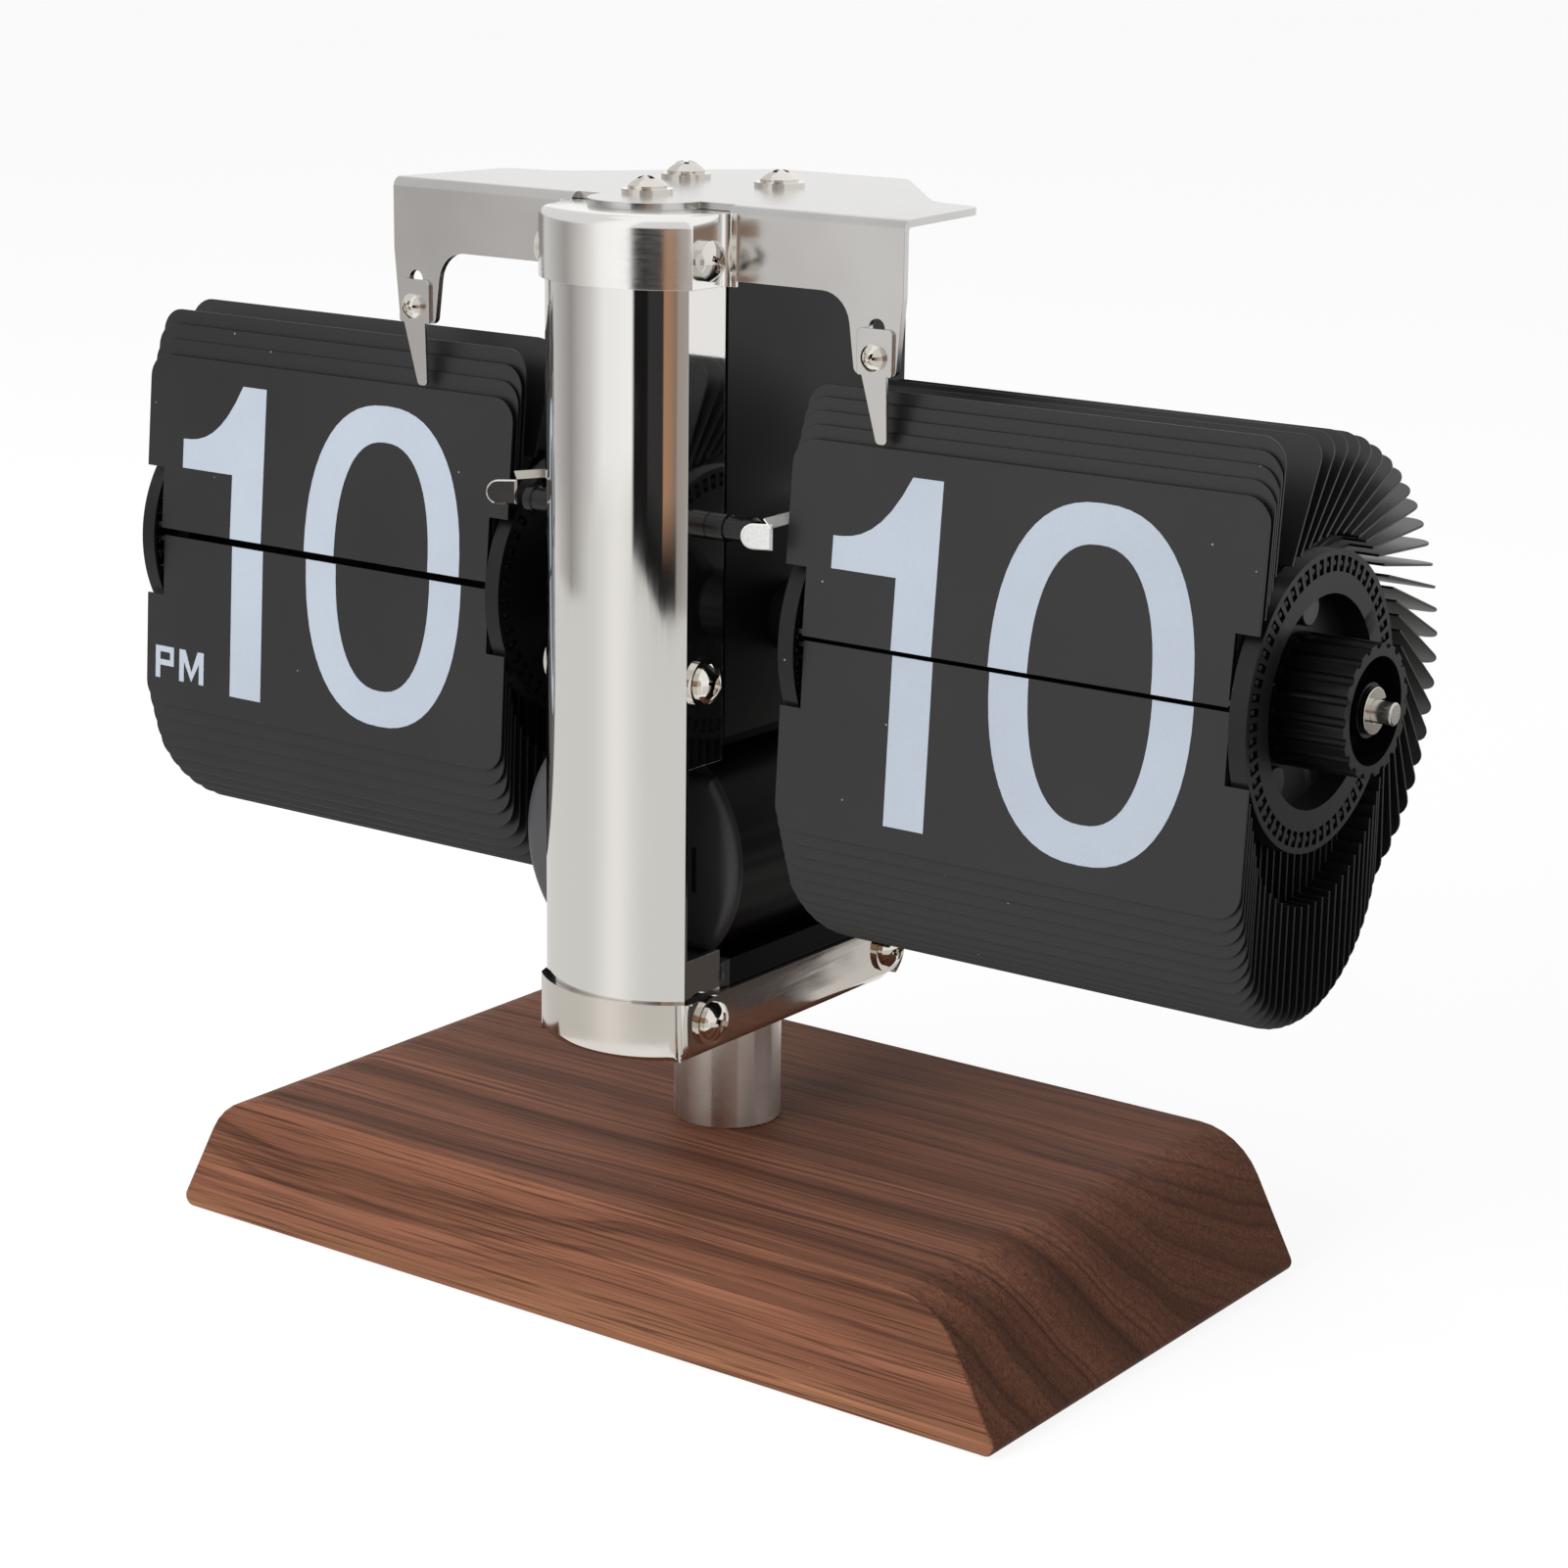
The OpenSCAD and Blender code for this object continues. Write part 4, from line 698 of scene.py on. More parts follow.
class Tree(Graph):
    """A Geometry Nodes tree being made, with named inputs."""

    def __init__(self, name, **inputs):
        self.group = bpy.data.node_groups.new(name, "GeometryNodeTree")
        super().__init__(self.group)
        face = self.group.interface
        for way in ("INPUT", "OUTPUT"):
            face.new_socket(name="Geometry", in_out=way, socket_type="NodeSocketGeometry")
        self.keys = {}
        for label, kind in inputs.items():
            label = label.replace("_", " ")
            socket = face.new_socket(name=label, in_out="INPUT", socket_type="NodeSocket" + kind)
            self.keys[label] = socket.identifier
        self.entry = self.nodes.new("NodeGroupInput")
        self.exit = self.nodes.new("NodeGroupOutput")

    def __getitem__(self, label):
        return self.entry.outputs[label]

    def vector(self, x=0.0, y=0.0, z=0.0):
        return self.add("ShaderNodeCombineXYZ", {0: x, 1: y, 2: z})

    def move(self, geometry, **where):
        return self.add("GeometryNodeTransform", {"Geometry": geometry, **where})

    def box(self, x, y, z, centre):
        cube = self.add("GeometryNodeMeshCube", {"Size": self.vector(x, y, z)})
        return self.move(cube, Translation=centre)

    def rod(self, corners, radius, depth, shift, **segments):
        """Cylinder along Z, moved by a share of its own depth."""
        sizes = {"Vertices": corners, "Radius": radius, "Depth": depth}
        sizes.update((label.replace("_", " "), count) for label, count in segments.items())
        away = self.vector(z=self.times(depth, shift))
        return self.move(self.add("GeometryNodeMeshCylinder", sizes), Translation=away)

    def join(self, *parts):
        return self.add("GeometryNodeJoinGeometry", {0: list(reversed(parts))})

    def cut(self, solid, *cutters):
        return self.add(
            "GeometryNodeMeshBoolean", {"Mesh 1": solid, "Mesh 2": list(cutters)},
            operation="DIFFERENCE",
        )

    def chance(self, low, high):
        """A chance value for each point."""
        return self.add(
            "FunctionNodeRandomValue", {2: low, 3: high, "Seed": self["Seed"]}, output=1,
            data_type="FLOAT",
        )

    def finish(self, geometry):
        """Ends the tree with real geometry and its material."""
        real = self.add("GeometryNodeRealizeInstances", {"Geometry": geometry})
        look = {"Geometry": real, "Material": self["Material"]}
        self.feed(self.exit.inputs["Geometry"], self.add("GeometryNodeSetMaterial", look))
        return self


def grown(name, tree, points, attributes, values):
    """Runs a tree on a set of points and returns the result as a plain mesh."""
    seeds = bpy.data.meshes.new(name + "_points")
    seeds.from_pydata([tuple(p) for p in points], [], [])
    for label, (kind, data) in attributes.items():
        layer = seeds.attributes.new(label, kind, "POINT")
        flat = [x for row in data for x in row] if kind == "FLOAT_VECTOR" else list(data)
        layer.data.foreach_set("vector" if kind == "FLOAT_VECTOR" else "value", flat)
    carrier = bpy.data.objects.new(name + "_points", seeds)
    bpy.context.scene.collection.objects.link(carrier)
    modifier = carrier.modifiers.new("Grow", "NODES")
    modifier.node_group = tree.group
    for label, value in values.items():
        modifier[tree.keys[label]] = value
    graph = bpy.context.evaluated_depsgraph_get()
    result = carrier.evaluated_get(graph)
    mesh = bpy.data.meshes.new_from_object(result, preserve_all_data_layers=True, depsgraph=graph)
    carrier.modifiers.remove(modifier)
    bpy.data.objects.remove(carrier)
    bpy.data.meshes.remove(seeds)
    if not mesh.polygons:
        raise RuntimeError(name + " came out empty")
    return mesh


def screw_tree():
    """Pan-head screws with a cross recess and a washer, one on each point, facing its axis."""
    t = Tree(
        "screw_heads", Head_Radius="Float", Head_Height="Float", Washer_Radius="Float",
        Washer_Thickness="Float", Shank_Radius="Float", Shank_Length="Float", Seed="Int",
        Material="Material",
    )
    radius, height, washer_t = t["Head Radius"], t["Head Height"], t["Washer Thickness"]
    drum = t.rod(40, radius, height, 0.5, Side_Segments=4, Fill_Segments=8)
    # The crown falls away towards the rim
    x, y, z = t.split(t.add("GeometryNodeInputPosition", {}))
    away = t.math("SQRT", t.plus(t.times(x, x), t.times(y, y)))
    share = t.math("DIVIDE", away, radius)
    fall = t.minus(1.0, t.times(t.math("POWER", share, 2.2), 0.76))
    crown = t.vector(x, y, t.times(z, fall))
    domed = t.add("GeometryNodeSetPosition", {"Geometry": drum, "Position": crown})
    arm = t.times(radius, 1.07)
    width = t.times(radius, 0.26)
    depth = t.times(height, 1.1)
    lift = t.vector(z=t.times(height, 1.06))
    head = t.cut(t.cut(domed, t.box(arm, width, depth, lift)), t.box(width, arm, depth, lift))
    head = t.move(head, Translation=t.vector(z=washer_t))
    washer = t.rod(44, t["Washer Radius"], washer_t, 0.5)
    shank = t.rod(20, t["Shank Radius"], t["Shank Length"], -0.5)
    screw = t.join(head, washer, shank)
    facing = t.add("GeometryNodeInputNamedAttribute", {"Name": "facing"}, data_type="FLOAT_VECTOR")
    aim = t.add("FunctionNodeAlignRotationToVector", {"Vector": facing}, axis="Z")
    turn = t.vector(z=t.chance(0.0, math.pi / 2))
    spin = {"Rotation": aim, "Rotate By": t.add("FunctionNodeEulerToRotation", {0: turn})}
    aim = t.add("FunctionNodeRotateRotation", spin, rotation_space="LOCAL")
    rows = {"Points": t["Geometry"], "Instance": screw, "Rotation": aim}
    return t.finish(t.add("GeometryNodeInstanceOnPoints", rows))


def leaf_tree():
    """Leaves with rounded free corners and side notches, one on each point, turned by its angle."""
    t = Tree(
        "leaf_row", Width="Float", Length="Float", Thickness="Float", Corner="Float", Stub="Float",
        Notch_Width="Float", Notch_Length="Float", Tab_Width="Float", Tab_Height="Float",
        Sway="Float", Seed="Int", Material="Material",
    )
    width, length, thick, stub = t["Width"], t["Length"], t["Thickness"], t["Stub"]
    tall = t.plus(length, stub)
    middle = t.vector(y=t.times(t.minus(length, stub), 0.5))
    sheet = t.add("GeometryNodeCurvePrimitiveQuadrilateral", {"Width": width, "Height": tall})
    fillet = {"Curve": sheet, "Count": 7, "Radius": t["Corner"]}
    sheet = t.add("GeometryNodeFilletCurve", fillet, mode="POLY")
    sheet = t.add("GeometryNodeFillCurve", {"Curve": sheet}, mode="NGONS")
    lift = {"Mesh": sheet, "Offset Scale": thick, "Individual": False}
    front = t.add("GeometryNodeExtrudeMesh", lift, mode="FACES")
    block = t.join(front, t.add("GeometryNodeFlipFaces", {"Mesh": sheet}))
    block = t.add("GeometryNodeMergeByDistance", {"Geometry": block, "Distance": 1e-6})
    drop = t.vector(z=t.times(thick, -0.5))
    block = t.move(t.move(block, Translation=drop), Translation=middle)
    gap = t.times(t["Notch Width"], 2.0)
    rise = t.times(t["Notch Length"], 2.0)
    deep = t.times(thick, 4.0)
    half = t.times(width, 0.5)
    leaf = t.cut(block, t.box(gap, rise, deep, t.vector(x=half)))
    leaf = t.cut(leaf, t.box(gap, rise, deep, t.vector(x=t.times(half, -1.0))))
    bar_t = t.times(thick, 0.98)
    leaf = t.join(leaf, t.box(t["Tab Width"], t["Tab Height"], bar_t, t.vector()))
    angle = t.add("GeometryNodeInputNamedAttribute", {"Name": "angle"}, data_type="FLOAT")
    sway = t.chance(t.times(t["Sway"], -1.0), t["Sway"])
    lean = t.add("FunctionNodeEulerToRotation", {0: t.vector(x=t.plus(angle, sway))})
    rows = {"Points": t["Geometry"], "Instance": leaf, "Rotation": lean}
    return t.finish(t.add("GeometryNodeInstanceOnPoints", rows))


def pin_tree():
    """Round pins in a ring about the X axis, one for each leaf, at the ring's centre point."""
    t = Tree(
        "pin_ring", Count="Int", Ring_Radius="Float", Pin_Radius="Float", Pin_Length="Float",
        Material="Material",
    )
    across = (0, math.pi / 2, 0)
    ring = t.add("GeometryNodeMeshCircle", {"Vertices": t["Count"], "Radius": t["Ring Radius"]})
    ring = t.move(ring, Rotation=across)
    pin = t.move(t.rod(12, t["Pin Radius"], t["Pin Length"], 0.0), Rotation=across)
    pins = t.add("GeometryNodeInstanceOnPoints", {"Points": ring, "Instance": pin})
    rows = {"Points": t["Geometry"], "Instance": pins}
    return t.finish(t.add("GeometryNodeInstanceOnPoints", rows))


# Leaf places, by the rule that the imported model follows


def rest_angle(pitch):
    """Angle at which a leaf of the fan lies back on the next one."""
    apart = 2 * PIVOT_R * math.sin(math.radians(pitch / 2))
    return 90 + pitch / 2 - math.degrees(math.asin(LEAF_STEP / apart))


def leaf_place(k, count):
    """Row name, depth, height and backward angle of leaf k, from the axle."""
    pitch = 360 / count
    a = FIRST_ANGLE + k * pitch
    y = -PIVOT_R * math.cos(math.radians(a))
    z = PIVOT_R * math.sin(math.radians(a))
    cos, sin = math.cos(math.radians(LEAF_LEAN)), math.sin(math.radians(LEAF_LEAN))
    if a < FAN_START:
        y0 = -PIVOT_R * math.cos(math.radians(FIRST_ANGLE)) - LEAF_PROUD
        z0 = PIVOT_R * math.sin(math.radians(FIRST_ANGLE))
        if k == 0:
            return "leaf", y0, z0, LEAF_LEAN
        first = y0 * cos - z0 * sin
        n = max(y * cos - z * sin, first + FIRST_STEP + (k - 1) * LEAF_STEP)
        m = y * sin + z * cos
        return "front_leaves", n * cos + m * sin, m * cos - n * sin, LEAF_LEAN
    if a > 270 - rest_angle(pitch):
        depth = max(y, -PIVOT_R + (count - 1 - k) * LEAF_STEP)
        return "hanging_leaves", depth, z, 180 + LEAF_TILT * max(0, (a - 270) / 90)
    if count == HOUR_LEAVES and a - pitch < FAN_START:
        return "fan_leaves", y, z, LOOSE_LEAN
    return "fan_leaves", y, z, min(180, a - 90 + rest_angle(pitch))


# Operators


class FLIPCLOCK_OT_stage(bpy.types.Operator):
    """Sets the camera, the lights, the floor and the cards that the metal mirrors"""

    bl_idname = "flipclock.stage"
    bl_label = "Stage"
    bl_options = {"REGISTER", "UNDO"}

    def execute(self, context):
        scene = context.scene
        stage = scene.flip_clock_stage
        scene.view_settings.view_transform = "Standard"
        self.camera(scene, stage)
        self.floor(scene, stage)
        self.surround(scene)
        self.world(scene, stage)
        for name, (at, aim, size) in LAMPS.items():
            self.lamp(scene, name + "_light", at, aim, size, getattr(stage, name))
        return {"FINISHED"}

    def camera(self, scene, stage):
        data = bpy.data.cameras.new("camera")
        data.lens = stage.lens
        data.sensor_width = 36
        data.shift_x, data.shift_y = CAMERA_SHIFT
        data.clip_start = 0.01
        view = bpy.data.objects.new("camera", data)
        scene.collection.objects.link(view)
        turn, pitch, roll = (math.radians(angle) for angle in CAMERA_ANGLES)
        level = Vector((math.cos(turn), math.sin(turn), 0))
        flat = math.cos(pitch)
        back = Vector((math.sin(turn) * flat, -math.cos(turn) * flat, math.sin(pitch)))
        rise = back.cross(level)
        right = math.cos(roll) * level + math.sin(roll) * rise
        up = -math.sin(roll) * level + math.cos(roll) * rise
        basis = Matrix((right, up, back)).transposed().to_4x4()
        view.matrix_world = Matrix.Translation(CAMERA_AT) @ basis
        scene.camera = view

    def floor(self, scene, stage):
        """Floor that looks white and gives back little light."""
        shell = bmesh.new()
        below = Matrix.Translation((0, 0, -0.0002))
        bmesh.ops.create_circle(shell, cap_ends=True, segments=96, radius=6, matrix=below)
        floor = bpy.data.objects.new("floor", as_mesh("floor", shell))
        scene.collection.objects.link(floor)
        f = Finish("floor", Roughness=0.9, Specular_IOR_Level=0.0)
        f.use(
            Base_Color=shade(stage.floor, 0.24),
            Emission_Color=f.mix(f.noise((3, 3, 3), 2), (1.0, 1.0, 1.0), (0.99, 0.99, 0.99)),
            Emission_Strength=f.times(f.seen(), 0.9),
        )
        floor.data.materials.append(f.material)

    def surround(self, scene):
        """Curved card and paper ring, which only polished surfaces mirror."""
        angles = [a for a, *_ in CARD]
        for a, b in zip(angles[:-1], angles[1:]):
            steps = max(1, round((b - a) / CARD_STEP))
            angles += [a + (b - a) * i / steps for i in range(1, steps)]
        # The paper goes on alone, with finer steps at the edge of the cloth
        angles += [CARD[-1][0] + CARD_STEP * i for i in range(1, 43)]
        angles += [137.5 + i for i in range(13)]
        shell = bmesh.new()
        layer = shell.verts.layers.float_color.new("tone")
        last = None
        for angle in sorted(angles):
            turn = math.radians(angle)
            across = Vector((math.sin(turn), -math.cos(turn), 0))
            column = []
            for radius, z, colour in self.card_rows(angle):
                spot = shell.verts.new(across * radius + Vector((0, CARD_Y, z)))
                spot[layer] = (*colour, 1)
                column.append(spot)
            if last:
                for i in range(len(column) - 1 if len(column) == len(last) else 1):
                    shell.faces.new((last[i], column[i], column[i + 1], last[i + 1]))
            last = column
        card = bpy.data.objects.new("surround", as_mesh("surround", shell))
        scene.collection.objects.link(card)
        material = bpy.data.materials.new("surround")
        material.use_nodes = True
        graph = Graph(material.node_tree)
        tones = graph.add("ShaderNodeAttribute", {}, attribute_name="tone")
        graph.end("ShaderNodeOutputMaterial", graph.add("ShaderNodeEmission", {"Color": tones}))
        card.data.materials.append(material)
        for rays in ("camera", "diffuse", "shadow", "transmission"):
            setattr(card, "visible_" + rays, False)

    def card_rows(self, angle):
        """Distance, height and tone of the points at an angle: the paper, then any card."""
        level = 0.73 + 0.22 * math.exp(-(((angle + 12) / 17) ** 2))
        paper = (level, level * 0.985, level * 0.95)
        if angle > CARD[-1][0]:
            radii = [PAPER_R + 0.01 * i for i in range(11)] + [0.3, CLOTH_R, 0.565, 0.6]
            return [(r, PAPER_Z, self.cloth(angle, r, paper)) for r in radii]
        after = next(i for i, section in enumerate(CARD) if section[0] >= angle)
        low, high = CARD[max(0, after - 1)], CARD[after]
        share = (angle - low[0]) / ((high[0] - low[0]) or 1)
        radius = low[1] + (high[1] - low[1]) * share
        foot = [p + (q - p) * share for p, q in zip(low[2] or paper, high[2] or paper)]
        wall = [p + (q - p) * share for p, q in zip(low[3], high[3])]
        light = [max(CARD_LIGHT, p) for p in wall]
        rise = 0.004 if angle < 0 else 0.001
        return [
            (PAPER_R, PAPER_Z, paper), (radius - 0.003, PAPER_Z, paper),
            (radius, rise, foot), (radius, 0.014, foot), (radius, 0.032, wall),
            (radius, 0.2, wall), (radius, 0.23, light), (radius, 1.1, light),
        ]

    def cloth(self, angle, radius, paper):
        """Tone of the paper, or of the cloth on it, whose edge is ragged near the clock."""
        if angle < CLOTH_START or radius > CLOTH_R:
            return paper
        start, soft = 141, 5
        if radius < 0.25:
            ragged = 0.9 * (-1) ** round(radius * 100)
            start, soft = 142 + 50 * (radius - 0.11) + ragged, 0.8
        share = min(1, max(0, (angle - start) / soft))
        return [dark + (light - dark) * share for dark, light in zip(CLOTH_TONE, paper)]

    def world(self, scene, stage):
        """Surroundings that look white and give less light."""
        scene.world = bpy.data.worlds.new("studio")
        scene.world.use_nodes = True
        graph = Graph(scene.world.node_tree)
        span = {"Value": graph.seen(), "To Min": stage.ambient, "To Max": 1.0}
        sky = {"Color": (1, 1, 1), "Strength": graph.add("ShaderNodeMapRange", span)}
        graph.end("ShaderNodeOutputWorld", graph.add("ShaderNodeBackground", sky))

    def lamp(self, scene, name, at, aim, size, energy):
        data = bpy.data.lights.new(name, "AREA")
        data.shape = "SQUARE"
        data.size = size
        data.energy = energy
        lamp = bpy.data.objects.new(name, data)
        scene.collection.objects.link(lamp)
        lamp.location = at
        lamp.rotation_euler = (Vector(aim) - Vector(at)).to_track_quat("-Z", "Y").to_euler()
        lamp.visible_glossy = False


class FLIPCLOCK_OT_base(bpy.types.Operator):
    """Makes the walnut base and the felt pad under it"""

    bl_idname = "flipclock.base"
    bl_label = "Wooden Base"
    bl_options = {"REGISTER", "UNDO"}

    def execute(self, context):
        sizes = context.scene.flip_clock_sizes
        refine("wood_base", "walnut", sizes.wood_round, 4)
        low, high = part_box("felt_pad")
        size = high - low
        middle = ((low.x + high.x) / 2, (low.y + high.y) / 2, low.z)
        shell = bmesh.new()
        bmesh.ops.create_grid(shell, x_segments=24, y_segments=12, size=0.5)
        bmesh.ops.scale(shell, vec=(size.x, size.y, 1), verts=shell.verts)
        bmesh.ops.translate(shell, vec=middle, verts=shell.verts)
        bmesh.ops.solidify(shell, geom=shell.faces[:], thickness=-size.z)
        bmesh.ops.recalc_face_normals(shell, faces=shell.faces)
        pad = settle(
            "felt_pad_piece", shell, "felt", ["felt_pad"],
            width=0.3 * MM, segments=2, angle=40,
        )
        return {"FINISHED"}


class FLIPCLOCK_OT_stand(bpy.types.Operator):
    """Makes the round post, the bottom bracket and the bolt and nut that hold them"""

    bl_idname = "flipclock.stand"
    bl_label = "Stand"
    bl_options = {"REGISTER", "UNDO"}

    def execute(self, context):
        sizes = context.scene.flip_clock_sizes
        refine("stand_post", "post_steel", 0.3 * MM)
        self.bracket(sizes)
        refine("post_bolt", "zinc", sizes.metal_round)
        refine("bolt_nut", "zinc", sizes.metal_round)
        return {"FINISHED"}

    def bracket(self, sizes):
        """The bracket with its pressed corners and lower edge rounded."""
        shell = merged("bottom_bracket")
        wide = max(v.co.x for v in shell.verts)
        corners = []
        for edge in shell.edges:
            a, b = (v.co for v in edge.verts)
            upright = abs(a.x - b.x) + abs(a.y - b.y) < 1e-5 and abs(a.z - b.z) > 4 * MM
            if upright and abs(a.x) > wide - 0.05 * MM and a.y < -20 * MM:
                corners.append(edge)
        round_over(shell, corners, sizes.bracket_round * 0.75, 5)
        lower = []
        for edge in shell.edges:
            if len(edge.link_faces) != 2 or min(v.co.to_2d().length for v in edge.verts) < 6 * MM:
                continue
            down, side = sorted((f.normal for f in edge.link_faces), key=lambda n: n.z)
            spot = (edge.verts[0].co + edge.verts[1].co) / 2
            apart = min(math.hypot(spot.y - y, spot.z - SIDE_SCREW_Z) for y in SIDE_SCREW_Y)
            outer = down.z < -0.99 or abs(side.x) > 0.99
            lowest = down.z < -0.05 and abs(side.z) < 0.05 and side.y < 0.1
            if lowest and outer and apart >= 2.5 * MM:
                lower.append(edge)
        round_over(shell, lower, sizes.bracket_round, 5)
        settle(
            "bottom_bracket_piece", shell, "bracket_steel",
            ["bottom_bracket"], width=sizes.metal_round,
        )


class FLIPCLOCK_OT_column(bpy.types.Operator):
    """Makes the polished column and the drawn cap on top of it"""

    bl_idname = "flipclock.column"
    bl_label = "Column And Cap"
    bl_options = {"REGISTER", "UNDO"}

    def execute(self, context):
        sizes = context.scene.flip_clock_sizes
        refine("front_column", "polished_steel", sizes.metal_round)
        shell = merged("column_cap")
        top = max(v.co.z for v in shell.verts)
        rear = max(v.co.y for v in shell.verts)
        shoulder = []
        for edge in shell.edges:
            a, b = (v.co for v in edge.verts)
            level = abs(a.z - top) < 1e-6 and abs(b.z - top) < 1e-6
            flat = [f for f in edge.link_faces if f.normal.z > 0.99]
            side = [f for f in edge.link_faces if abs(f.normal.z) < 0.1]
            near = min(a.y, b.y) < rear - 4 * MM and max(abs(a.x), abs(b.x)) < 13.3 * MM
            if level and flat and side and near:
                shoulder.append(edge)
        round_over(shell, shoulder, sizes.cap_round, 6)
        settle(
            "column_cap_piece", shell, "cap_steel", ["column_cap"],
            width=sizes.metal_round,
        )
        return {"FINISHED"}


class FLIPCLOCK_OT_top_plate(bpy.types.Operator):
    """Makes the top plate with its flanges and arms, and the two fingers"""

    bl_idname = "flipclock.top_plate"
    bl_label = "Top Plate And Fingers"
    bl_options = {"REGISTER", "UNDO"}

    def execute(self, context):
        refine("top_plate", "satin_steel", 0.16 * MM)
        refine("hour_finger", "satin_steel", 0.1 * MM, 2)
        refine("minute_finger", "satin_steel", 0.1 * MM, 2)
        return {"FINISHED"}


class FLIPCLOCK_OT_screws(bpy.types.Operator):
    """Makes every screw of the clock from one tree"""

    bl_idname = "flipclock.screws"
    bl_label = "Screws"
    bl_options = {"REGISTER", "UNDO"}

    def execute(self, context):
        sizes = context.scene.flip_clock_sizes
        tree = screw_tree()
        right, left, front, up = (1, 0, 0), (-1, 0, 0), (0, -1, 0), (0, 0, 1)
        washer = (sizes.screw_head, sizes.screw_washer, *LARGE_SCREW)
        plain = (sizes.screw_head, sizes.screw_head * 0.99, *LARGE_SCREW)
        small = (sizes.small_head, sizes.small_head * 1.05, *SMALL_SCREW)
        beside = [(BRACKET_HALF_W, y, SIDE_SCREW_Z) for y in SIDE_SCREW_Y]
        on_plate = [(x, y, PLATE_Z) for x, y in PLATE_SCREWS]
        on_arms = [(x, FLANGE_Y - FINGER_T, FINGER_SCREW_Z) for x in FINGER_SCREW_X]
        corners = [(COVER_X, y, z) for y in COVER_SCREW_Y for z in COVER_SCREW_Z]
        # Node, sizes, shank length in millimetres, places and the way each head faces
        for row in (
            ("bracket_screws", washer, 6, self.both(beside), [right, left] * 2),
            ("column_screws", washer, 6, self.both([COLUMN_SCREW]), [right, left]),
            ("cap_screws", plain, 6, self.both([CAP_SCREW]), [right, left]),
            ("plate_screws", washer, 4, on_plate, [up] * 3),
            ("finger_screws", small, 2.1, on_arms, [front] * 2),
            ("cover_screws", small, 5.6, corners, [left] * 4),
        ):
            self.row(context, tree, *row)
        return {"FINISHED"}

    def both(self, points):
        """Each point and its mirror image across the middle."""
        return [q for p in points for q in (p, (-p[0], p[1], p[2]))]

    def row(self, context, tree, node, size, shank, points, facing):
        head, washer, height, thick, shank_r = size
        mesh = grown(
            node, tree, points, {"facing": ("FLOAT_VECTOR", facing)},
            {
                "Head Radius": head, "Head Height": height, "Washer Radius": washer,
                "Washer Thickness": thick, "Shank Radius": shank_r, "Shank Length": shank * MM,
                "Seed": context.scene.flip_clock_sizes.seed,
                "Material": finish("nickel_screws"),
            },
        )
        settle(
            node + "_piece", mesh, "nickel_screws", [node],
            width=0.12 * MM, segments=2, angle=34,
        )


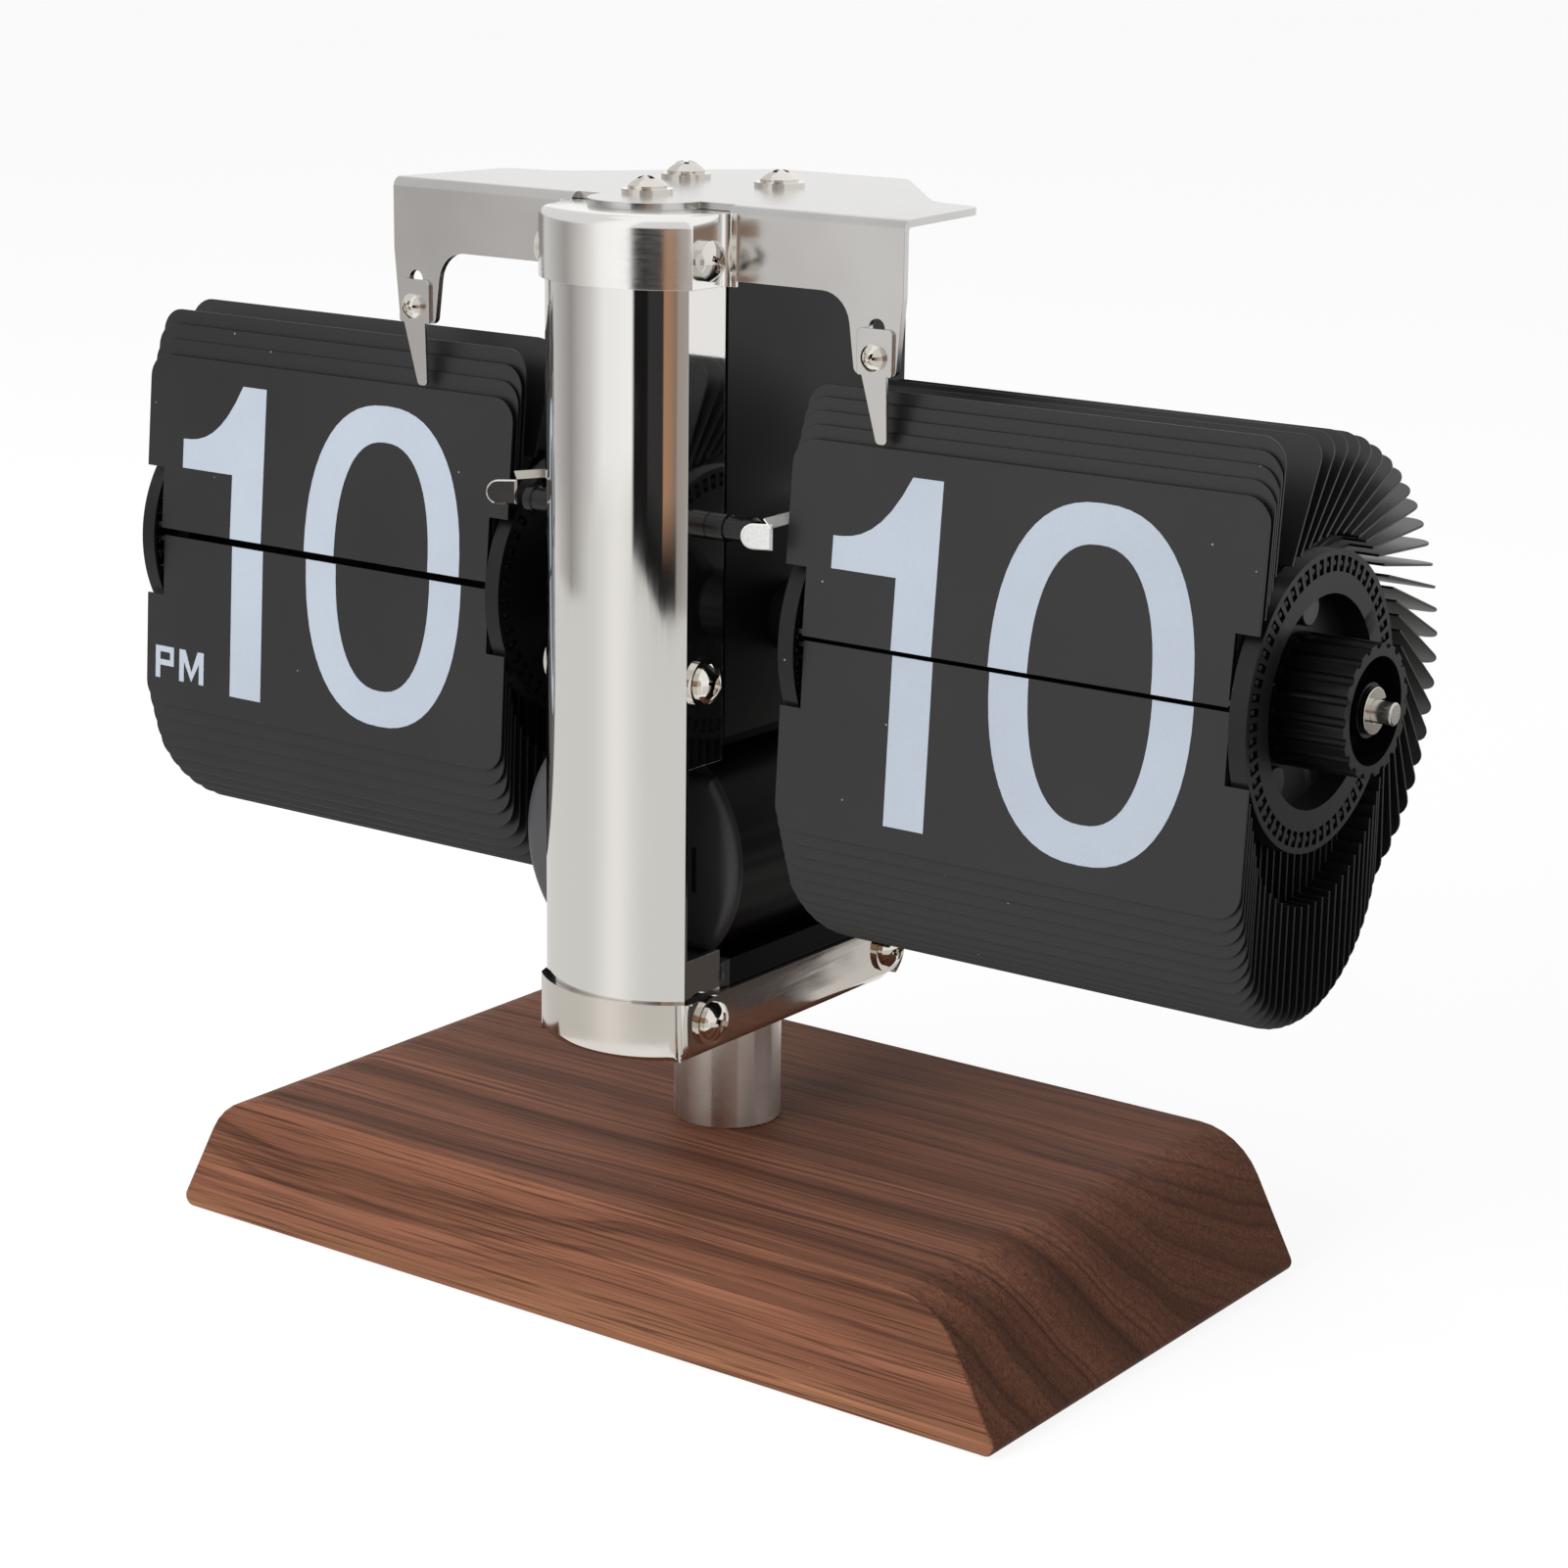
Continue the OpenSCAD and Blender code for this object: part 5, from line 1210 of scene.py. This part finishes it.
class FLIPCLOCK_OT_guide(bpy.types.Operator):
    """Makes the guide rod across the column and the spring tongues at its ends"""

    bl_idname = "flipclock.guide"
    bl_label = "Guide Rod"
    bl_options = {"REGISTER", "UNDO"}

    def execute(self, context):
        low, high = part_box("guide_rod")
        centre = (low + high) / 2
        radius = (high.z - low.z) / 2
        self.rod(centre, radius, high.x)
        rims, faces, light = bmesh.new(), bmesh.new(), bmesh.new()
        self.tab(rims, faces, Vector((-24.4, -26, 114.2)) * MM, 36)
        run, rise = Vector((2.4, 4.6, 0)), Vector((-0.54, 0, 1.12))
        self.strip(rims, Vector((-20.9, -23.4, 116)), run, rise)
        # The right tab and its strip are near-white plastic whose brightness is partly a painted
        # highlight
        self.tab(light, light, Vector((20.2, -26, 113.4)) * MM, 22)
        run, rise = Vector((0, 5.8, 0.1)), Vector((-1.2, 0, 1.18))
        self.strip(light, Vector((24.1, -24.5, 114.6)), run, rise)
        for name, shell, look, slot, nodes in (
            ("guide_tongues_piece", rims, "nickel_screws", "nickel_screws", ["guide_tongues"]),
            ("guide_tab_face", faces, "smoky_plastic", "black_plastic", []),
            ("guide_light_tab", light, "white_plastic", "ivory_plastic", []),
        ):
            bmesh.ops.recalc_face_normals(shell, faces=shell.faces)
            settle(name, shell, look, nodes)
        return {"FINISHED"}

    def rod(self, centre, radius, end):
        """Turned rod with a collar near each end: places in twentieths of its half length."""
        half = [(0, 1.0), (15.3, 1.0), (15.4, 0.87), (18.2, 0.87), (18.4, 1.0), (19.6, 1.0)]
        half = [(x * end / 20, share * radius) for x, share in half + [(20, 0.8)]]
        turns = [math.tau * i / 32 for i in range(32)]
        shell = bmesh.new()
        rings = []
        for x, r in [(-x, r) for x, r in reversed(half[1:])] + half:
            ring = [(x, centre.y + r * math.cos(t), centre.z + r * math.sin(t)) for t in turns]
            rings.append([shell.verts.new(spot) for spot in ring])
        loft(shell, rings)
        bmesh.ops.recalc_face_normals(shell, faces=shell.faces)
        settle(
            "guide_rod_piece", shell, "gloss_plastic", ["guide_rod"], angle=20
        )

    def tab(self, rims, faces, tip, turn):
        """A flat tab, turned back from its round tip: a rim round its face."""
        tall, long, rim_w = 1.75 * MM, 4.4 * MM, 0.2 * MM
        place = Matrix.Translation(tip) @ Matrix.Rotation(math.radians(turn), 4, "Z")
        arc = [math.radians(a) for a in range(90, 271, 15)]
        inner, stop = tall - rim_w, long - 2 * rim_w
        outer_line = [(tall + tall * math.cos(a), tall * math.sin(a)) for a in arc]
        outer_line += [(long, -tall), (long, tall)]
        inner_line = [(tall + inner * math.cos(a), inner * math.sin(a)) for a in arc]
        inner_line += [(stop, -inner), (stop, inner)]

        def row(shell, line, depth):
            return [shell.verts.new(place @ Vector((x, depth * MM, z))) for x, z in line]

        edges = ((outer_line, 0.2), (inner_line, 0), (inner_line, 0.4), (outer_line, 0.4))
        loft(rims, [row(rims, line, depth) for line, depth in edges], ring=True)
        loft(faces, [row(faces, inner_line, depth) for depth in (0.06, 0.32)])

    def strip(self, rims, start, run, rise):
        """Tilted ribbon from a tab's upper corner back to the movement, in millimetres."""
        thick = run.cross(rise).normalized() * 0.2
        corners = [start, start + run, start + run + rise, start + rise]
        sides = [[rims.verts.new((p + away) * MM) for p in corners] for away in (Vector(), thick)]
        loft(rims, sides)


class FLIPCLOCK_OT_movement(bpy.types.Operator):
    """Finishes the movement: its case, its cover and what they hold"""

    bl_idname = "flipclock.movement"
    bl_label = "Movement"
    bl_options = {"REGISTER", "UNDO"}

    def execute(self, context):
        sizes = context.scene.flip_clock_sizes
        refine("movement_case", "black_plastic", sizes.plastic_round)
        refine("case_cover", "black_plastic", sizes.plastic_round)
        refine("motor", "motor_can", sizes.plastic_round)
        dress("zinc", "movement_plate")
        dress("board", "circuit_board")
        dress("ivory_plastic", "motor_pinion", "cannon_pinion")
        dress("ivory_plastic", "minute_wheel", "transfer_gear", "hour_wheel")
        return {"FINISHED"}


class FLIPCLOCK_OT_drums(bpy.types.Operator):
    """Makes the drums: discs with their rings of pins, cores, setting knob, axle and clips"""

    bl_idname = "flipclock.drums"
    bl_label = "Drums And Knob"
    bl_options = {"REGISTER", "UNDO"}

    def execute(self, context):
        for disc in ("minute_inner", "minute_outer", "hour_inner", "hour_outer"):
            refine(disc + "_disc", "drum_plastic", 0.12 * MM, 2)
        dress("black_plastic", "minute_core", "hour_core")
        refine("setting_knob", "knob_plastic", 0.14 * MM, 2)
        refine("axle", "axle_steel", 0.25 * MM)
        refine("axle_clips", "nickel_screws", 0.1 * MM, 2)
        tree = pin_tree()
        inset = PIN_SUNK + PIN_L / 2
        for drum, count, side in DRUMS:
            places = (DISC_FACES[0] + inset, DISC_FACES[1] - inset)
            mesh = grown(
                drum + "_pins", tree, [(side * x, AXLE_Y, AXLE_Z) for x in places], {},
                {
                    "Count": count, "Ring Radius": PIN_RING_R, "Pin Radius": PIN_R,
                    "Pin Length": PIN_L, "Material": finish("drum_plastic"),
                },
            )
            body = drum + "_drum"
            settle(drum + "_pins", mesh, "drum_plastic", [], body, 0.28 * MM)
        self.bosses()
        return {"FINISHED"}

    def bosses(self):
        """Moulded bosses in the well of the minute drum's outer disc."""
        shell = bmesh.new()
        for angle in BOSS_ANGLES:
            turn = math.radians(angle)
            y, z = BOSS_RING_R * math.cos(turn), BOSS_RING_R * math.sin(turn)
            place = Matrix.Translation((BOSS_X, AXLE_Y + y, AXLE_Z + z))
            bmesh.ops.create_cone(
                shell, cap_ends=True, segments=28, radius1=BOSS_R, radius2=BOSS_R, depth=BOSS_L,
                matrix=place @ Matrix.Rotation(math.pi / 2, 4, "Y"),
            )
        bmesh.ops.recalc_face_normals(shell, faces=shell.faces)
        settle(
            "minute_disc_bosses", shell, "smoky_plastic", [],
            "minute_drum", 0.2 * MM,
        )


class FLIPCLOCK_OT_leaves(bpy.types.Operator):
    """Makes both sets of leaves from one tree"""

    bl_idname = "flipclock.leaves"
    bl_label = "Leaves"
    bl_options = {"REGISTER", "UNDO"}

    def execute(self, context):
        tree = leaf_tree()
        for drum, count, side in DRUMS:
            rows = {}
            for k in range(count):
                row, y, z, angle = leaf_place(k, count)
                rows.setdefault(drum + "_" + row, []).append((y, z, angle))
            for node, places in rows.items():
                self.row(context, tree, node, side, places)
        return {"FINISHED"}

    def row(self, context, tree, node, side, places):
        sizes = context.scene.flip_clock_sizes
        points = [(side * LEAF_MID_X, AXLE_Y + y, AXLE_Z + z) for y, z, _ in places]
        angles = [math.radians(90 - a) for _, _, a in places]
        mesh = grown(
            node, tree, points, {"angle": ("FLOAT", angles)},
            {
                "Width": sizes.leaf_width, "Length": sizes.leaf_length,
                "Thickness": sizes.leaf_thickness, "Corner": sizes.leaf_corner, "Stub": LEAF_STUB,
                "Notch Width": NOTCH_W, "Notch Length": NOTCH_L, "Tab Width": BAR_W,
                "Tab Height": BAR_H, "Seed": sizes.seed,
                "Sway": sizes.leaf_sway if node.endswith("fan_leaves") else 0.0,
                "Material": finish("leaf_plastic"),
            },
        )
        settle(
            node + "_piece", mesh, "leaf_plastic", [node], body_of(node),
            0.07 * MM, 1, 34,
        )


class FLIPCLOCK_OT_numerals(bpy.types.Operator):
    """Makes the printed numerals and the afternoon mark"""

    bl_idname = "flipclock.numerals"
    bl_label = "Numerals"
    bl_options = {"REGISTER", "UNDO"}

    def execute(self, context):
        for leaf in ("minute_leaf", "minute", "hour_leaf", "hour"):
            refine(leaf + "_numerals", "print", 0)
        return {"FINISHED"}


class FLIPCLOCK_OT_battery(bpy.types.Operator):
    """Makes the battery tube, its cover, the cell and its contacts"""

    bl_idname = "flipclock.battery"
    bl_label = "Battery"
    bl_options = {"REGISTER", "UNDO"}

    def execute(self, context):
        sizes = context.scene.flip_clock_sizes
        self.housing()
        refine("battery_cover", "black_plastic", 0.5 * MM)
        refine("battery_cell", "cell", sizes.plastic_round)
        dress("zinc", "battery_contacts", "cover_contact")
        return {"FINISHED"}

    def housing(self):
        """The tube and its foot, with the front plate's outer edge rounded like a pillow."""
        shell = merged("battery_housing")
        plates = [f for f in shell.faces if f.normal.y < -0.99]
        middles = [f.calc_center_median() for f in plates]
        front = min(spot.y for spot in middles if spot.z > 60 * MM)
        edges = []
        for edge in shell.edges:
            level = all(abs(v.co.y - front) < 1e-5 for v in edge.verts)
            tilts = [f.normal.y for f in edge.link_faces]
            if level and any(y < -0.99 for y in tilts) and any(abs(y) < 0.1 for y in tilts):
                edges.append(edge)
        round_over(shell, edges, 1.7 * MM, 6)
        settle(
            "battery_housing_piece", shell, "housing_plastic",
            ["battery_housing"], width=0.3 * MM,
        )


STEPS = (
    FLIPCLOCK_OT_stage,
    FLIPCLOCK_OT_base,
    FLIPCLOCK_OT_stand,
    FLIPCLOCK_OT_column,
    FLIPCLOCK_OT_top_plate,
    FLIPCLOCK_OT_screws,
    FLIPCLOCK_OT_guide,
    FLIPCLOCK_OT_movement,
    FLIPCLOCK_OT_drums,
    FLIPCLOCK_OT_leaves,
    FLIPCLOCK_OT_numerals,
    FLIPCLOCK_OT_battery,
)


class FLIPCLOCK_PT_parts(bpy.types.Panel):
    """Lists the clock's pieces and the sizes and colours they use"""

    bl_idname = "FLIPCLOCK_PT_parts"
    bl_label = "Flip Clock"
    bl_space_type = "VIEW_3D"
    bl_region_type = "UI"
    bl_category = "Flip Clock"

    def draw(self, context):
        for step in STEPS:
            self.layout.operator(step.bl_idname)
        scene = context.scene
        for group in (scene.flip_clock_sizes, scene.flip_clock_colours, scene.flip_clock_stage):
            box = self.layout.box()
            for name in group.__annotations__:
                box.prop(group, name)


CLASSES = (FlipClockSizes, FlipClockColours, FlipClockStage, *STEPS, FLIPCLOCK_PT_parts)


def register():
    for cls in CLASSES:
        bpy.utils.register_class(cls)
    bpy.types.Scene.flip_clock_sizes = bpy.props.PointerProperty(type=FlipClockSizes)
    bpy.types.Scene.flip_clock_colours = bpy.props.PointerProperty(type=FlipClockColours)
    bpy.types.Scene.flip_clock_stage = bpy.props.PointerProperty(type=FlipClockStage)


def unregister():
    del bpy.types.Scene.flip_clock_stage
    del bpy.types.Scene.flip_clock_colours
    del bpy.types.Scene.flip_clock_sizes
    for cls in reversed(CLASSES):
        bpy.utils.unregister_class(cls)


def main():
    register()
    for step in STEPS:
        group, name = step.bl_idname.split(".")
        getattr(getattr(bpy.ops, group), name)()


if __name__ == "__main__":
    main()
